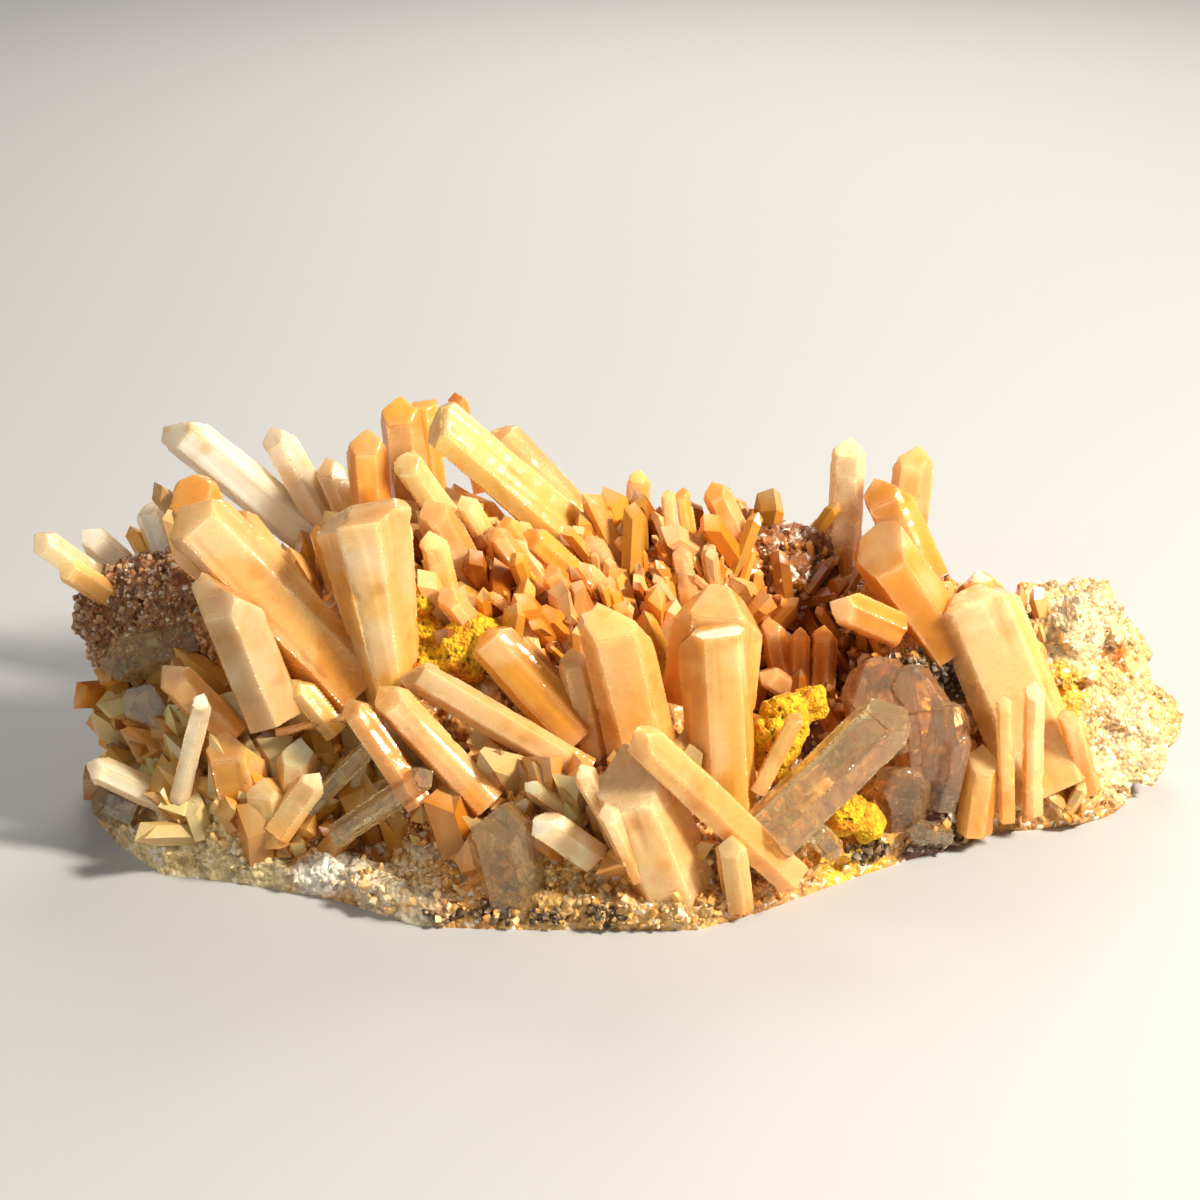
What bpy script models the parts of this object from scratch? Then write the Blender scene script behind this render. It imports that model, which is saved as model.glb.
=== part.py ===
# Citrine cluster: a plate of golden matrix, sawn flat below, that carries a fan of quartz crystals.
# Every crystal is worked out from its foot, its tip and its width, in millimetres, and is cut from
# a block by its prism and pyramid faces. +X runs along the plate, -Y is its front, +Z is up.
import math
import random

import bmesh
import bpy
from mathutils import Matrix, Vector, bvhtree, noise

MM = 0.001
GAP = 0.3                       # clearance between a crystal and what it is seated in
FRONT = Vector((0, -0.906, 0.423))  # the way the fan opens: a face with roll 0 looks this way
RHOMB = 38.0                    # degrees that a pyramid face of quartz leans in towards the axis
CLEARANCE = 1.0                 # height of a crystal's lowest edge above the sawn underside
VOXEL = 2.0                     # fineness of the rock before it is faceted
FACETS = 0.05                   # share of the rock's triangles that is kept
KEEP_TOGETHER = 0.02            # corners closer than this are one corner
MIDDLE = Vector((3.42, -1.84, 0))   # point under the middle of the whole, which becomes the origin

# Large crystals, each a piece of its own. foot and tip are the ends of the axis, width is from edge
# to edge, flat is thickness over width, roll turns the prism, sides moves its six faces in or out,
# and ends gives pyramid faces as (direction round the axis, lean, distance beyond the tip).
CRYSTALS = {
    # front row
    "diagonal_spar": {"foot": (31, -38, 6), "tip": (4.5, -44, 36.5), "width": 7.6, "roll": 30},
    "front_pink": {"foot": (13.5, -38, 2), "tip": (3, -41, 33), "width": 17, "flat": 0.8, "roll": 8,
                   "sides": (1, 1, 1, 1, 0.8, 0.8)},
    "cream_rider_upper": {"foot": (2, -41, 18), "tip": (-3.5, -43.5, 30.5), "width": 4.6, "roll": 0},
    "cream_rider_lower": {"foot": (6, -43, 9.5), "tip": (0.5, -46.5, 25), "width": 4.6, "roll": 10},
    "front_peach": {"foot": (7, -28.5, 17), "tip": (-0.5, -22, 49), "width": 12.6, "roll": 0,
                    "sides": (0.9, 0.75, 0.75, 1, 1.2, 1.2)},
    "side_peach": {"foot": (-0.5, -27, 19), "tip": (-5, -21, 40), "width": 6.2, "roll": 10},
    "front_amber": {"foot": (20, -31, 13), "tip": (18, -20, 43), "width": 12, "roll": -8,
                    "ends": ((0, 70, 0), (90, 48, 2), (-90, 55, 3), (180, 60, 1))},
    "amber_hood": {"foot": (17.5, -20, 28), "tip": (19.5, -13, 46.5), "width": 16, "flat": 0.7, "roll": 0,
                   "ends": ((0, 48, 0), (75, 42, 2), (-75, 42, 2), (180, 50, 1))},
    "clear_spar": {"foot": (26.5, -38, 13.5), "tip": (50, -24, 31), "width": 10, "roll": 20},
    "olive_spar": {"foot": (25.5, -32.5, 18.5), "tip": (32.5, -27, 31), "width": 3.6, "roll": 20},
    "glass_block": {"foot": (-13, -39, 2), "tip": (-16, -44, 24), "width": 13.5, "flat": 0.8, "roll": 15,
                    "sides": (1, 1, 1, 1, 0.85, 0.85)},
    "lemon_chip": {"foot": (-1, -40, 11), "tip": (-10.5, -45, 21.5), "width": 6, "roll": 20},
    "lemon_post": {"foot": (22.5, -40, 2), "tip": (20.5, -44, 18), "width": 6, "roll": 20},
    "long_grey": {"foot": (-2, -31, 21), "tip": (-31, -24, 36.5), "width": 6.4, "roll": 0,
                  "ends": ((0, 50, 0), (-80, 60, 0), (80, 40, 3), (180, 50, 2))},
    "orange_wedge": {"foot": (-3, -26, 25), "tip": (-19, -19, 41), "width": 9, "flat": 0.8, "roll": 10,
                     "ends": ((0, 60, 0), (80, 60, 1), (-80, 50, 1), (180, 60, 1))},
    "peach_pair_left": {"foot": (-29, -33, 17), "tip": (-40.5, -28, 34), "width": 6, "roll": 25},
    "peach_pair_right": {"foot": (-18, -33, 16.5), "tip": (-36, -26, 35), "width": 7.4, "roll": 10},
    "clear_bar_upper": {"foot": (-48, -29, 14), "tip": (-36.5, -29, 26), "width": 4.6, "roll": 15},
    "clear_bar_lower": {"foot": (-43, -33, 11), "tip": (-26.5, -35, 24.5), "width": 5, "roll": 0},
    "lemon_small": {"foot": (-43, -24, 25), "tip": (-50.5, -22, 34.5), "width": 5.4, "roll": 30},
    "cream_finger": {"foot": (-69.5, -25, 13), "tip": (-64, -24, 33), "width": 4, "roll": 10},
    "cream_point": {"foot": (-68, -22, 9), "tip": (-85.5, -21, 18), "width": 5.4, "roll": 0},
    # standing crystals of the left half
    "smoky_giant": {"foot": (-33.5, -20, 27), "tip": (-39, -12, 61), "width": 9.5, "roll": 0,
                    "taper": 1.95,
                    "ends": ((0, 78, -0.5), (75, 60, 0.5), (-80, 48, 5), (180, 55, 1))},
    "grey_spar": {"foot": (-55.5, -22, 26), "tip": (-64.5, -18, 51.5), "width": 12, "roll": 22,
                  "sides": (1, 0.5, 0.5, 1, 1.4, 1.4)},
    "peach_slab": {"foot": (-40, -18, 29), "tip": (-69.5, -10, 60), "width": 12, "flat": 0.8, "roll": 0,
                   "slope": 42},
    "stained_sliver": {"foot": (-44, -13, 37), "tip": (-60, -7, 58), "width": 5, "roll": 0},
    "orange_blunt": {"foot": (-62.5, 3, 37), "tip": (-71, 8, 58.5), "width": 11, "roll": 0,
                     "ends": ((0, 50, -3), (80, 42, 0), (-80, 50, 0), (180, 40, 1))},
    "milky_blade": {"foot": (-47, 24, 33), "tip": (-79, 34, 56.5), "width": 9, "roll": 10,
                    "sides": (1, 0.6, 0.6, 1, 1.4, 1.4)},
    "grey_shard": {"foot": (-46, 23, 36), "tip": (-59, 34, 57), "width": 7, "roll": 20},
    "white_block": {"foot": (-73, 10, 35), "tip": (-78.5, 16, 49), "width": 7, "roll": 10,
                    "ends": ((0, 60, 0), (80, 50, 1), (-80, 50, 2), (180, 60, 1))},
    "amber_shelf": {"foot": (-80, 5, 33), "tip": (-91.5, -2, 46), "width": 5.6, "roll": 0},
    "far_left": {"foot": (-80, 11, 31), "tip": (-97, 6, 48), "width": 6, "roll": 20},
    "far_left_behind": {"foot": (-77, 15, 31), "tip": (-90, 14, 45), "width": 6, "roll": 0},
    # back ridge
    "lemon_giant": {"foot": (1, 17, 37), "tip": (-28, 14, 65.5), "width": 9.2, "roll": 30,
                    "ends": ((80, 62, 0), (-100, 60, 2), (0, 50, 2), (180, 50, 2))},
    "tan_lemon": {"foot": (-20, 7, 41), "tip": (-33, 6, 62), "width": 6.4, "roll": 20,
                  "ends": ((0, 50, 0), (-80, 60, 0.5), (80, 42, 2), (180, 50, 1))},
    "orange_tan": {"foot": (-21, -2, 41), "tip": (-29.5, 2, 56), "width": 7.2, "roll": 0},
    "orange_pointer": {"foot": (-39, 13, 40), "tip": (-40.5, 20, 62), "width": 7.4, "roll": 0},
    "amber_back": {"foot": (-33, 23, 42), "tip": (-35.5, 30, 64), "width": 8, "roll": 10},
    "amber_back_small": {"foot": (-29, 25, 43), "tip": (-31, 31, 62.5), "width": 6, "roll": 20,
                         "ends": ((0, 70, 0), (90, 50, 2), (-90, 60, 2), (180, 60, 1))},
    "flat_orange": {"foot": (-21, 28, 46), "tip": (-26, 34, 63.5), "width": 5, "roll": 20},
    "tan_behind": {"foot": (0, 25, 38), "tip": (-18.5, 30, 57.5), "width": 8, "roll": 0,
                   "ends": ((0, 60, 0), (80, 55, 1), (-80, 60, 0), (180, 60, 1))},
    "thimble": {"foot": (6.3, 18, 38), "tip": (6.7, 24, 52.7), "width": 5.4, "roll": 15},
    "orange_lean": {"foot": (27, 14, 37), "tip": (19.3, 20, 51.8), "width": 5.6, "roll": 10},
    "tower": {"foot": (43, 20, 28), "tip": (44.2, 28, 57.3), "width": 6.4, "roll": 12},
    # right half
    "orange_block": {"foot": (60.5, -1, 28), "tip": (45, 8, 48), "width": 12.6, "roll": 15,
                     "ends": ((10, 40, -2), (80, 48, 0), (-80, 60, 1), (180, 50, 0))},
    "orange_dome": {"foot": (56, 7, 38), "tip": (47.5, 14, 55.5), "width": 8.7, "roll": 25},
    "grey_orange": {"foot": (53.5, 15, 39), "tip": (56, 22, 58), "width": 8.2, "roll": 10,
                    "sides": (1, 1.2, 1.2, 1, 0.8, 0.8)},
    "orange_left": {"foot": (51, -3, 33.5), "tip": (38, -5, 40.5), "width": 7, "roll": 15},
    "right_giant": {"foot": (77, -11, 7), "tip": (62, 0, 40), "width": 15, "flat": 0.75, "roll": 0,
                    "sides": (0.8, 1, 1, 1, 1.15, 1.1),
                    "ends": ((85, 62, 1), (-85, 52, 2), (0, 62, 0), (180, 50, 1))},
    "right_cap": {"foot": (68.5, 1, 28), "tip": (65.5, 8, 39.6), "width": 7.4, "roll": 0,
                  "ends": ((0, 60, 0), (80, 50, 1), (-80, 42, 1), (180, 60, 1))},
    "smoky_core": {"foot": (48, -15, 17), "tip": (45, -10, 33), "width": 13, "roll": 20,
                   "ends": ((0, 35, -3), (70, 40, -1), (-60, 50, 0), (180, 55, 0))},
    "smoky_right": {"foot": (55, -16, 13), "tip": (53, -12, 33), "width": 11, "roll": 0,
                    "ends": ((0, 40, -3), (70, 50, 0), (-70, 40, -2), (180, 55, 0))},
    "smoky_edge": {"foot": (56.5, -18, 8), "tip": (60, -14, 26.5), "width": 9, "roll": 25,
                   "ends": ((0, 40, -2), (70, 50, 0), (-70, 35, -1), (180, 55, 0))},
    "smoky_low": {"foot": (51, -19, 7), "tip": (50, -21, 17), "width": 10, "roll": 10,
                  "ends": ((0, 45, -1), (70, 50, 0), (-60, 50, 0), (180, 60, 0))},
    "right_needle_left": {"foot": (69, -18, 5), "tip": (66.5, -19, 30), "width": 3.4, "roll": 10},
    "right_needle_right": {"foot": (73.5, -15, 5), "tip": (71.5, -17.5, 32), "width": 4.4, "roll": 20},
    "right_fin": {"foot": (84, -9, 6), "tip": (78, -13, 24.5), "width": 5.2, "roll": 10},
}

# Crystals that have grown through one another are one solid.
GROUPS = {
    "front_group": ("front_pink", "diagonal_spar", "cream_rider_upper", "cream_rider_lower",
                    "clear_spar", "olive_spar", "lemon_post"),
    "peach_group": ("front_peach", "side_peach", "orange_wedge", "long_grey"),
    "amber_twin": ("front_amber", "amber_hood"),
    "glass_pair": ("glass_block", "lemon_chip"),
    "peach_bars": ("peach_pair_left", "peach_pair_right", "clear_bar_upper", "clear_bar_lower"),
    "left_fan": ("smoky_giant", "peach_slab", "stained_sliver", "grey_spar", "lemon_small"),
    "milky_pair": ("milky_blade", "grey_shard"),
    "far_left_pair": ("far_left", "far_left_behind"),
    "amber_back_pair": ("amber_back", "amber_back_small"),
    "tan_pair": ("tan_lemon", "orange_tan"),
    "right_group": ("right_giant", "right_cap", "right_fin", "right_needle_right", "orange_block",
                    "orange_dome", "grey_orange", "orange_left"),
    "smoky_cluster": ("smoky_core", "smoky_right", "smoky_edge", "smoky_low"),
}

# Small crystals that the matrix itself has put out.
OFFSHOOTS = {
    "tan_nub": {"foot": (-44, 24, 42), "tip": (-49, 30, 52.5), "width": 6, "roll": 30},
    "small_pale": {"foot": (-17, 5, 43), "tip": (-23.5, 2, 57), "width": 4.5, "roll": 0},
    "lemon_clear": {"foot": (-25, -9, 40), "tip": (-28, -8, 55), "width": 6, "roll": 0},
    "peach_chip": {"foot": (-19, -15, 37), "tip": (-26.5, -14, 47), "width": 5.3, "roll": 0},
    "tangle_1": {"foot": (-10, -2, 40), "tip": (-19, 2, 51), "width": 4.8, "roll": 0},
    "tangle_2": {"foot": (-8, 0, 39.5), "tip": (-16.5, 6, 51.5), "width": 3.8, "roll": 10},
    "tangle_3": {"foot": (-1, 2, 39), "tip": (-13, 4, 50), "width": 5.5, "roll": 20},
    "tangle_4": {"foot": (-1.5, -8, 34), "tip": (-9, -6, 47.5), "width": 4.7, "roll": 0},
    "tangle_5": {"foot": (-0.5, -6, 35), "tip": (-5.5, -4, 46), "width": 3.7, "roll": 10},
    "tangle_6": {"foot": (2.5, 2, 36), "tip": (-3.5, 2, 44.5), "width": 4.1, "roll": 20},
    "tangle_7": {"foot": (2, 8, 39), "tip": (-2.5, 10, 46.5), "width": 4.8, "roll": 0},
    "tangle_8": {"foot": (-11, -10, 37.5), "tip": (-19, -8, 43.5), "width": 2.7, "roll": 0},
    "tangle_9": {"foot": (-11, -14, 34.5), "tip": (-12, -10, 42), "width": 3, "roll": 0},
    "thimble_small": {"foot": (5, 16, 38), "tip": (2, 20, 49), "width": 4.2, "roll": 0},
    "back_tip_left": {"foot": (12.6, 14, 40), "tip": (11.7, 18, 51.3), "width": 3.4, "roll": 0},
    "back_tip_right": {"foot": (16, 14, 40.5), "tip": (14.3, 19, 51.3), "width": 3.6, "roll": 15},
    "knuckle": {"foot": (15.5, 4, 34), "tip": (13.6, 8, 45), "width": 5, "roll": 20},
    "knuckle_small": {"foot": (20, 6, 36.7), "tip": (18.4, 10, 44.8), "width": 3.8, "roll": 0},
    "pink_stub": {"foot": (35, 0, 19), "tip": (27, -5, 27), "width": 5, "roll": 0},
    "hollow_left": {"foot": (32, 1, 19), "tip": (29, 3, 34), "width": 5, "roll": 10},
    "hollow_middle": {"foot": (34.6, 0, 18), "tip": (34.3, 2, 32.5), "width": 4, "roll": 0},
    "hollow_right": {"foot": (38.4, 0, 18), "tip": (39, 3, 32.5), "width": 5.5, "roll": 20},
    "amber_chunk_left": {"foot": (-58, -25, 8), "tip": (-61, -23, 26), "width": 10, "roll": 10},
    "amber_chunk_middle": {"foot": (-54, -28, 7), "tip": (-55, -28, 20), "width": 7.5, "roll": 20},
    "amber_chunk_right": {"foot": (-50, -26, 12), "tip": (-49, -24, 25), "width": 8, "roll": 0},
    "cream_chunk": {"foot": (-53, -30, 10), "tip": (-45, -30, 21.5), "width": 5.5, "roll": 0},
    "ice_point": {"foot": (-68, -7, 34), "tip": (-84, -12, 30.5), "width": 9, "roll": 0},
    "ice_tan": {"foot": (-68, -12, 18), "tip": (-80, -14, 28.5), "width": 11, "roll": 0},
    "ice_small": {"foot": (-71, -16, 15), "tip": (-77.5, -14, 20), "width": 4, "roll": 0},
    "ice_shelf": {"foot": (-75, -15, 11), "tip": (-84, -12, 16.5), "width": 6, "roll": 0},
    "low_blade": {"foot": (-78, -15, 5), "tip": (-87.5, -12, 8), "width": 8, "roll": 0},
    "tan_front": {"foot": (-60, -21, 23), "tip": (-71.5, -19, 35.5), "width": 7.1, "roll": 10},
    "brown_needle": {"foot": (-53, -25, 25.5), "tip": (-39.5, -24, 28.5), "width": 2.4, "roll": 0},
    "pale_sliver": {"foot": (-2.5, -36, 15), "tip": (-12.5, -36, 23), "width": 4.4, "roll": 0},
    "right_flake": {"foot": (63, -18, 3), "tip": (64.5, -16, 19.5), "width": 7.5, "roll": 0},
    "low_clear": {"foot": (38.5, -31, 7), "tip": (33.5, -33, 13), "width": 4.5, "roll": 0},
    "low_smoky": {"foot": (58, -20, 3), "tip": (50.5, -25, 7.5), "width": 5, "roll": 0},
}

# Rounded masses that the matrix is made of, as centre and reach along X, Y and Z.
MASSES = (
    ((-22, 6, 8), (46, 34, 33)),        # mound under the middle of the fan
    ((-58, 2, 6), (27, 24, 27)),        # mound under the left of the fan
    ((-57, -17, 5), (18, 12, 15)),      # orange chunk in front of it
    ((0, -22, 4), (38, 19, 19)),        # front belly
    ((8, 14, 22), (26, 14, 19)),        # back ridge
    ((33, 19, 30), (11, 7, 14)),        # dark knob behind the hollow
    ((36, 6, 8), (26, 22, 11)),         # floor of the hollow
    ((48, 14, 22), (9, 8, 14)),         # wall between the hollow and the tower
    ((60, 8, 18), (16, 14, 19)),        # shoulder under the orange crystals
    ((46, -10, 3), (20, 13, 8)),        # apron under the smoky crystals
    ((70, 0, 3), (24, 13, 10)),         # apron under the right giant
    ((-30, 30, 14), (30, 14, 20)),      # back slope
)
# Angular masses of the matrix, each the hull of its corners.
BLOCKS = (
    # sugary brown lump at the left end and its neck
    ((-91, 3, 37), (-90, 1, 33), (-85, -6, 29), (-80, -9, 19), (-83, 2, 14), (-72, -3, 44),
     (-80, 3, 44.5), (-66, 6, 46), (-60, 14, 42), (-87, 11, 36), (-76, 17, 38), (-62, -10, 36),
     (-58, -16, 22), (-58, 18, 12), (-80, 14, 12), (-76, -12, 12)),
    # block at the right end
    ((70, 2, 33), (79, 0, 34.5), (89, 4, 34.5), (92, 9, 33), (88, 18, 32), (74, 18, 33),
     (94, 6, 27), (97, 7, 20), (100, 7, 13), (105, 9, 10), (101, 16, 10), (74, -8, 5),
     (98, -2, 3), (100, 12, 2), (92, 24, 1), (70, 24, 1), (82, -6, 12), (92, -2, 13)),
)
# Edge of the plate, seen from above, anticlockwise from the left end.
PLATE = (
    (-87, -9), (-82, -17), (-73, -27), (-62, -29), (-43, -35), (-29, -43), (-10, -44), (16, -44),
    (27, -38), (42, -28), (59, -18), (78, -8), (94, 0), (98, 10), (92, 25), (70, 30), (40, 33),
    (8, 38), (-30, 43), (-60, 36), (-80, 22), (-89, 6),
)
PLATE_BOTTOM = -6
PLATE_TOP = 5.5

# Patches of small crystals: centre seen from above, spread, number, and length of the crystals.
DRUSE_SEED = 11
DRUSE = (
    ((-4, -1), 11, 8, 9),       # tangle between the fan and the front row
    ((13, 10), 9, 8, 7),        # ridge
    ((33, 18), 5, 3, 3.5),      # dark knob
    ((38, 5), 8, 5, 7),         # hollow
    ((-60, -21), 11, 7, 8),     # orange chunk
    ((-76, -16), 6, 3, 6),      # front of the left end
    ((-36, -34), 12, 6, 7),     # front edge, left
    ((-4, -40), 7, 3, 6),       # front edge, middle
    ((40, -24), 9, 3, 6),       # apron
    ((-55, 30), 14, 4, 10),     # back slope, left
    ((-12, 34), 16, 5, 10),     # back slope, middle
    ((30, 30), 12, 3, 9),       # back slope, right
)

# Porous ochre crusts, as nodules with their centre and radius.
OCHRE = {
    "ochre_left": (((-28, -16, 33), 4.5), ((-23, -16, 35), 5), ((-20, -15, 38), 4.2),
                   ((-29.5, -13, 38), 3.2), ((-30, -12, 43), 2.6)),
    "ochre_right": (((28.5, -23, 23), 4.2), ((31, -20, 26), 4.2), ((28, -25, 18), 3),
                    ((35, -18, 27), 3)),
    "ochre_low": (((40.5, -27, 12), 3.4), ((44, -26, 9.5), 3)),
}


def prism_planes(row, grow=0.0):
    """Faces of one crystal as (point, outward normal), moved out by grow."""
    foot, tip = Vector(row["foot"]), Vector(row["tip"])
    axis = (tip - foot).normalized()
    length = (tip - foot).length
    front = (FRONT - axis * FRONT.dot(axis)).normalized()
    across = front.cross(axis)
    half = row["width"] / 2
    deep = half * row.get("flat", 1.0)
    planes = [(foot - axis * grow, -axis)]
    for k in range(6):
        turn = math.radians(row.get("roll", 0) + 60 * k)
        out = front * (math.cos(turn) / deep) + across * (math.sin(turn) / half)
        reach = math.cos(math.radians(30)) / out.length * row.get("sides", (1,) * 6)[k]
        out.normalize()
        lean = reach * (1 - row.get("taper", 1.0)) / length
        side = (out + axis * lean).normalized()
        planes.append((foot + out * reach + side * grow, side))
        if "ends" not in row:
            rise = math.radians(row.get("slope", RHOMB))
            face = out * math.cos(rise) + axis * math.sin(rise)
            planes.append((tip + face * grow, face))
    for turn, rise, beyond in row.get("ends", ()):
        turn, rise = math.radians(turn), math.radians(rise)
        out = front * math.cos(turn) + across * math.sin(turn)
        face = out * math.cos(rise) + axis * math.sin(rise)
        planes.append((tip + axis * beyond + face * grow, face))
    planes.append((Vector((0, 0, CLEARANCE - grow)), Vector((0, 0, -1))))
    return planes


def cleave(bm, planes):
    """Cuts a closed convex block by each plane and closes the cut."""
    for point, normal in planes:
        parts = bm.verts[:] + bm.edges[:] + bm.faces[:]
        cut = bmesh.ops.bisect_plane(bm, geom=parts, plane_co=point, plane_no=normal,
                                     dist=1e-4, clear_outer=True)
        rim = [e for e in cut["geom_cut"] if isinstance(e, bmesh.types.BMEdge) and e.is_boundary]
        if rim:
            bmesh.ops.edgeloop_fill(bm, edges=rim)


def crystal_mesh(row, grow=0.0):
    """One crystal in millimetres, cut from a block."""
    foot, tip = Vector(row["foot"]), Vector(row["tip"])
    bm = bmesh.new()
    bmesh.ops.create_cube(bm, size=4 * ((tip - foot).length + row["width"]))
    bmesh.ops.translate(bm, verts=bm.verts, vec=(foot + tip) / 2)
    cleave(bm, prism_planes(row, grow))
    bmesh.ops.remove_doubles(bm, verts=bm.verts, dist=KEEP_TOGETHER)
    bmesh.ops.recalc_face_normals(bm, faces=bm.faces)
    return bm


def nodule_mesh(centre, radius, grow=0.0):
    """One nodule of ochre: a squat ball with its corners pushed in and out."""
    bm = bmesh.new()
    bmesh.ops.create_icosphere(bm, subdivisions=2, radius=1)
    for vert in bm.verts:
        lump = 1 + 0.22 * noise.noise(vert.co * 1.7 + Vector(centre))
        vert.co = Vector(centre) + vert.co * (radius * lump + grow)
    return bm


def join(meshes):
    """Puts several meshes in one, still as separate bodies."""
    whole = bmesh.new()
    for bm in meshes:
        part = bpy.data.meshes.new("part")
        bm.to_mesh(part)
        bm.free()
        whole.from_mesh(part)
        bpy.data.meshes.remove(part)
    return whole


def add_object(name, bm, collection, scale=MM):
    """Makes an object from a mesh in millimetres."""
    bmesh.ops.scale(bm, vec=(scale, scale, scale), verts=bm.verts)
    mesh = bpy.data.meshes.new(name)
    bm.to_mesh(mesh)
    bm.free()
    thing = bpy.data.objects.new(name, mesh)
    collection.objects.link(thing)
    return thing


def apply_modifiers(thing):
    """Replaces the object's mesh by what its modifiers make of it."""
    graph = bpy.context.evaluated_depsgraph_get()
    made = bpy.data.meshes.new_from_object(thing.evaluated_get(graph))
    thing.modifiers.clear()
    old = thing.data
    thing.data = made
    bpy.data.meshes.remove(old)


def combine(thing, tool, operation):
    """Boolean with the EXACT solver; the tool may hold bodies that overlap one another."""
    tool.hide_render = True
    tool.display_type = "WIRE"
    cut = thing.modifiers.new(operation.lower(), "BOOLEAN")
    cut.operation = operation
    cut.solver = "EXACT"
    cut.use_self = True
    cut.object = tool
    apply_modifiers(thing)


def tidy(thing):
    """Merges near corners, flattens slivers and keeps the largest body."""
    bm = bmesh.new()
    bm.from_mesh(thing.data)
    bmesh.ops.remove_doubles(bm, verts=bm.verts, dist=KEEP_TOGETHER * MM)
    bmesh.ops.dissolve_degenerate(bm, edges=bm.edges, dist=KEEP_TOGETHER * MM)
    bmesh.ops.triangulate(bm, faces=bm.faces)
    left = set(bm.faces)
    bodies = []
    while left:
        body = {left.pop()}
        edge_of = list(body)
        while edge_of:
            face = edge_of.pop()
            for edge in face.edges:
                for other in edge.link_faces:
                    if other in left:
                        left.discard(other)
                        body.add(other)
                        edge_of.append(other)
        bodies.append(body)
    bodies.sort(key=lambda faces: sum(face.calc_area() for face in faces))
    for body in bodies[:-1]:
        bmesh.ops.delete(bm, geom=list(body), context="FACES")
    bmesh.ops.recalc_face_normals(bm, faces=bm.faces)
    bm.to_mesh(thing.data)
    bm.free()


def near(rows_a, rows_b, margin=1.0):
    """Whether two sets of crystals may touch, by their boxes."""
    def box(rows):
        half = max(row["width"] for row in rows) / 2 + margin
        ends = [row["foot"] for row in rows] + [row["tip"] for row in rows]
        return [(min(e[i] for e in ends) - half, max(e[i] for e in ends) + half) for i in range(3)]
    return all(a[0] < b[1] and b[0] < a[1] for a, b in zip(box(rows_a), box(rows_b)))


def new_collection(name):
    made = bpy.data.collections.new(name)
    bpy.context.scene.collection.children.link(made)
    return made


def paint(thing, name, colour, roughness, clear=0.0):
    """A plain material; clear is the share of light that goes through."""
    material = bpy.data.materials.new(name)
    material.use_nodes = True
    shader = material.node_tree.nodes["Principled BSDF"]
    shader.inputs["Base Color"].default_value = (*colour, 1)
    shader.inputs["Roughness"].default_value = roughness
    shader.inputs["Metallic"].default_value = 0
    shader.inputs["IOR"].default_value = 1.54
    shader.inputs["Transmission Weight"].default_value = clear
    thing.data.materials.clear()
    thing.data.materials.append(material)


def druse(stone):
    """Small crystals seated on the rock under each patch, leaning the way the fan opens."""
    chance = random.Random(DRUSE_SEED)
    surface = bvhtree.BVHTree.FromObject(stone, bpy.context.evaluated_depsgraph_get())
    crystals = []
    for centre, spread, number, length in DRUSE:
        for _ in range(number):
            x = centre[0] + spread * chance.uniform(-1, 1)
            y = centre[1] + spread * chance.uniform(-1, 1)
            lean = Vector((chance.uniform(-0.5, 0.5), chance.uniform(-0.5, 0.5), 0.7))
            size = length * chance.uniform(0.7, 1.25)
            roll = chance.uniform(0, 60)
            spot, normal, _, _ = surface.ray_cast(Vector((x, y, 90)) * MM, Vector((0, 0, -1)))
            if spot is None:
                continue
            spot = spot / MM
            way = (normal + lean).normalized()
            row = {"foot": spot - way * 3, "tip": spot + way * size, "roll": roll,
                   "width": size * chance.uniform(0.38, 0.6)}
            crystals.append(crystal_mesh(row))
    return crystals


def rock(parts, cutters):
    """The matrix: masses melted together, faceted coarsely and sawn flat below."""
    plate = bmesh.new()
    rim = [plate.verts.new((x, y, PLATE_BOTTOM)) for x, y in PLATE]
    base = plate.faces.new(rim)
    top = bmesh.ops.extrude_face_region(plate, geom=[base])["geom"]
    bmesh.ops.translate(plate, verts=[v for v in top if isinstance(v, bmesh.types.BMVert)],
                        vec=(0, 0, PLATE_TOP - PLATE_BOTTOM))
    bmesh.ops.recalc_face_normals(plate, faces=plate.faces)
    masses = [plate]
    for corners in BLOCKS:
        block = bmesh.new()
        for corner in corners:
            block.verts.new(corner)
        bmesh.ops.convex_hull(block, input=block.verts)
        bmesh.ops.delete(block, geom=[v for v in block.verts if not v.link_faces],
                         context="VERTS")
        masses.append(block)
    for centre, reach in MASSES:
        mass = bmesh.new()
        bmesh.ops.create_icosphere(mass, subdivisions=3, radius=1)
        bmesh.ops.transform(mass, matrix=Matrix.Translation(centre) @ Matrix.Diagonal((*reach, 1)),
                            verts=mass.verts)
        masses.append(mass)
    thing = add_object("matrix", join(masses), parts)
    melt = thing.modifiers.new("melt", "REMESH")
    melt.mode = "VOXEL"
    melt.voxel_size = VOXEL * MM
    apply_modifiers(thing)
    for vert in thing.data.vertices:
        place = vert.co / MM
        push = 1.7 * noise.noise(place * 0.11) + 0.9 * noise.noise(place * 0.31)
        vert.co += vert.normal * push * MM
    facet = thing.modifiers.new("facet", "DECIMATE")
    facet.ratio = FACETS
    apply_modifiers(thing)
    saw = bmesh.new()
    bmesh.ops.create_cube(saw, size=300)
    bmesh.ops.translate(saw, verts=saw.verts, vec=(0, 0, 150))
    combine(thing, add_object("saw", saw, cutters), "INTERSECT")
    return thing


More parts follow.
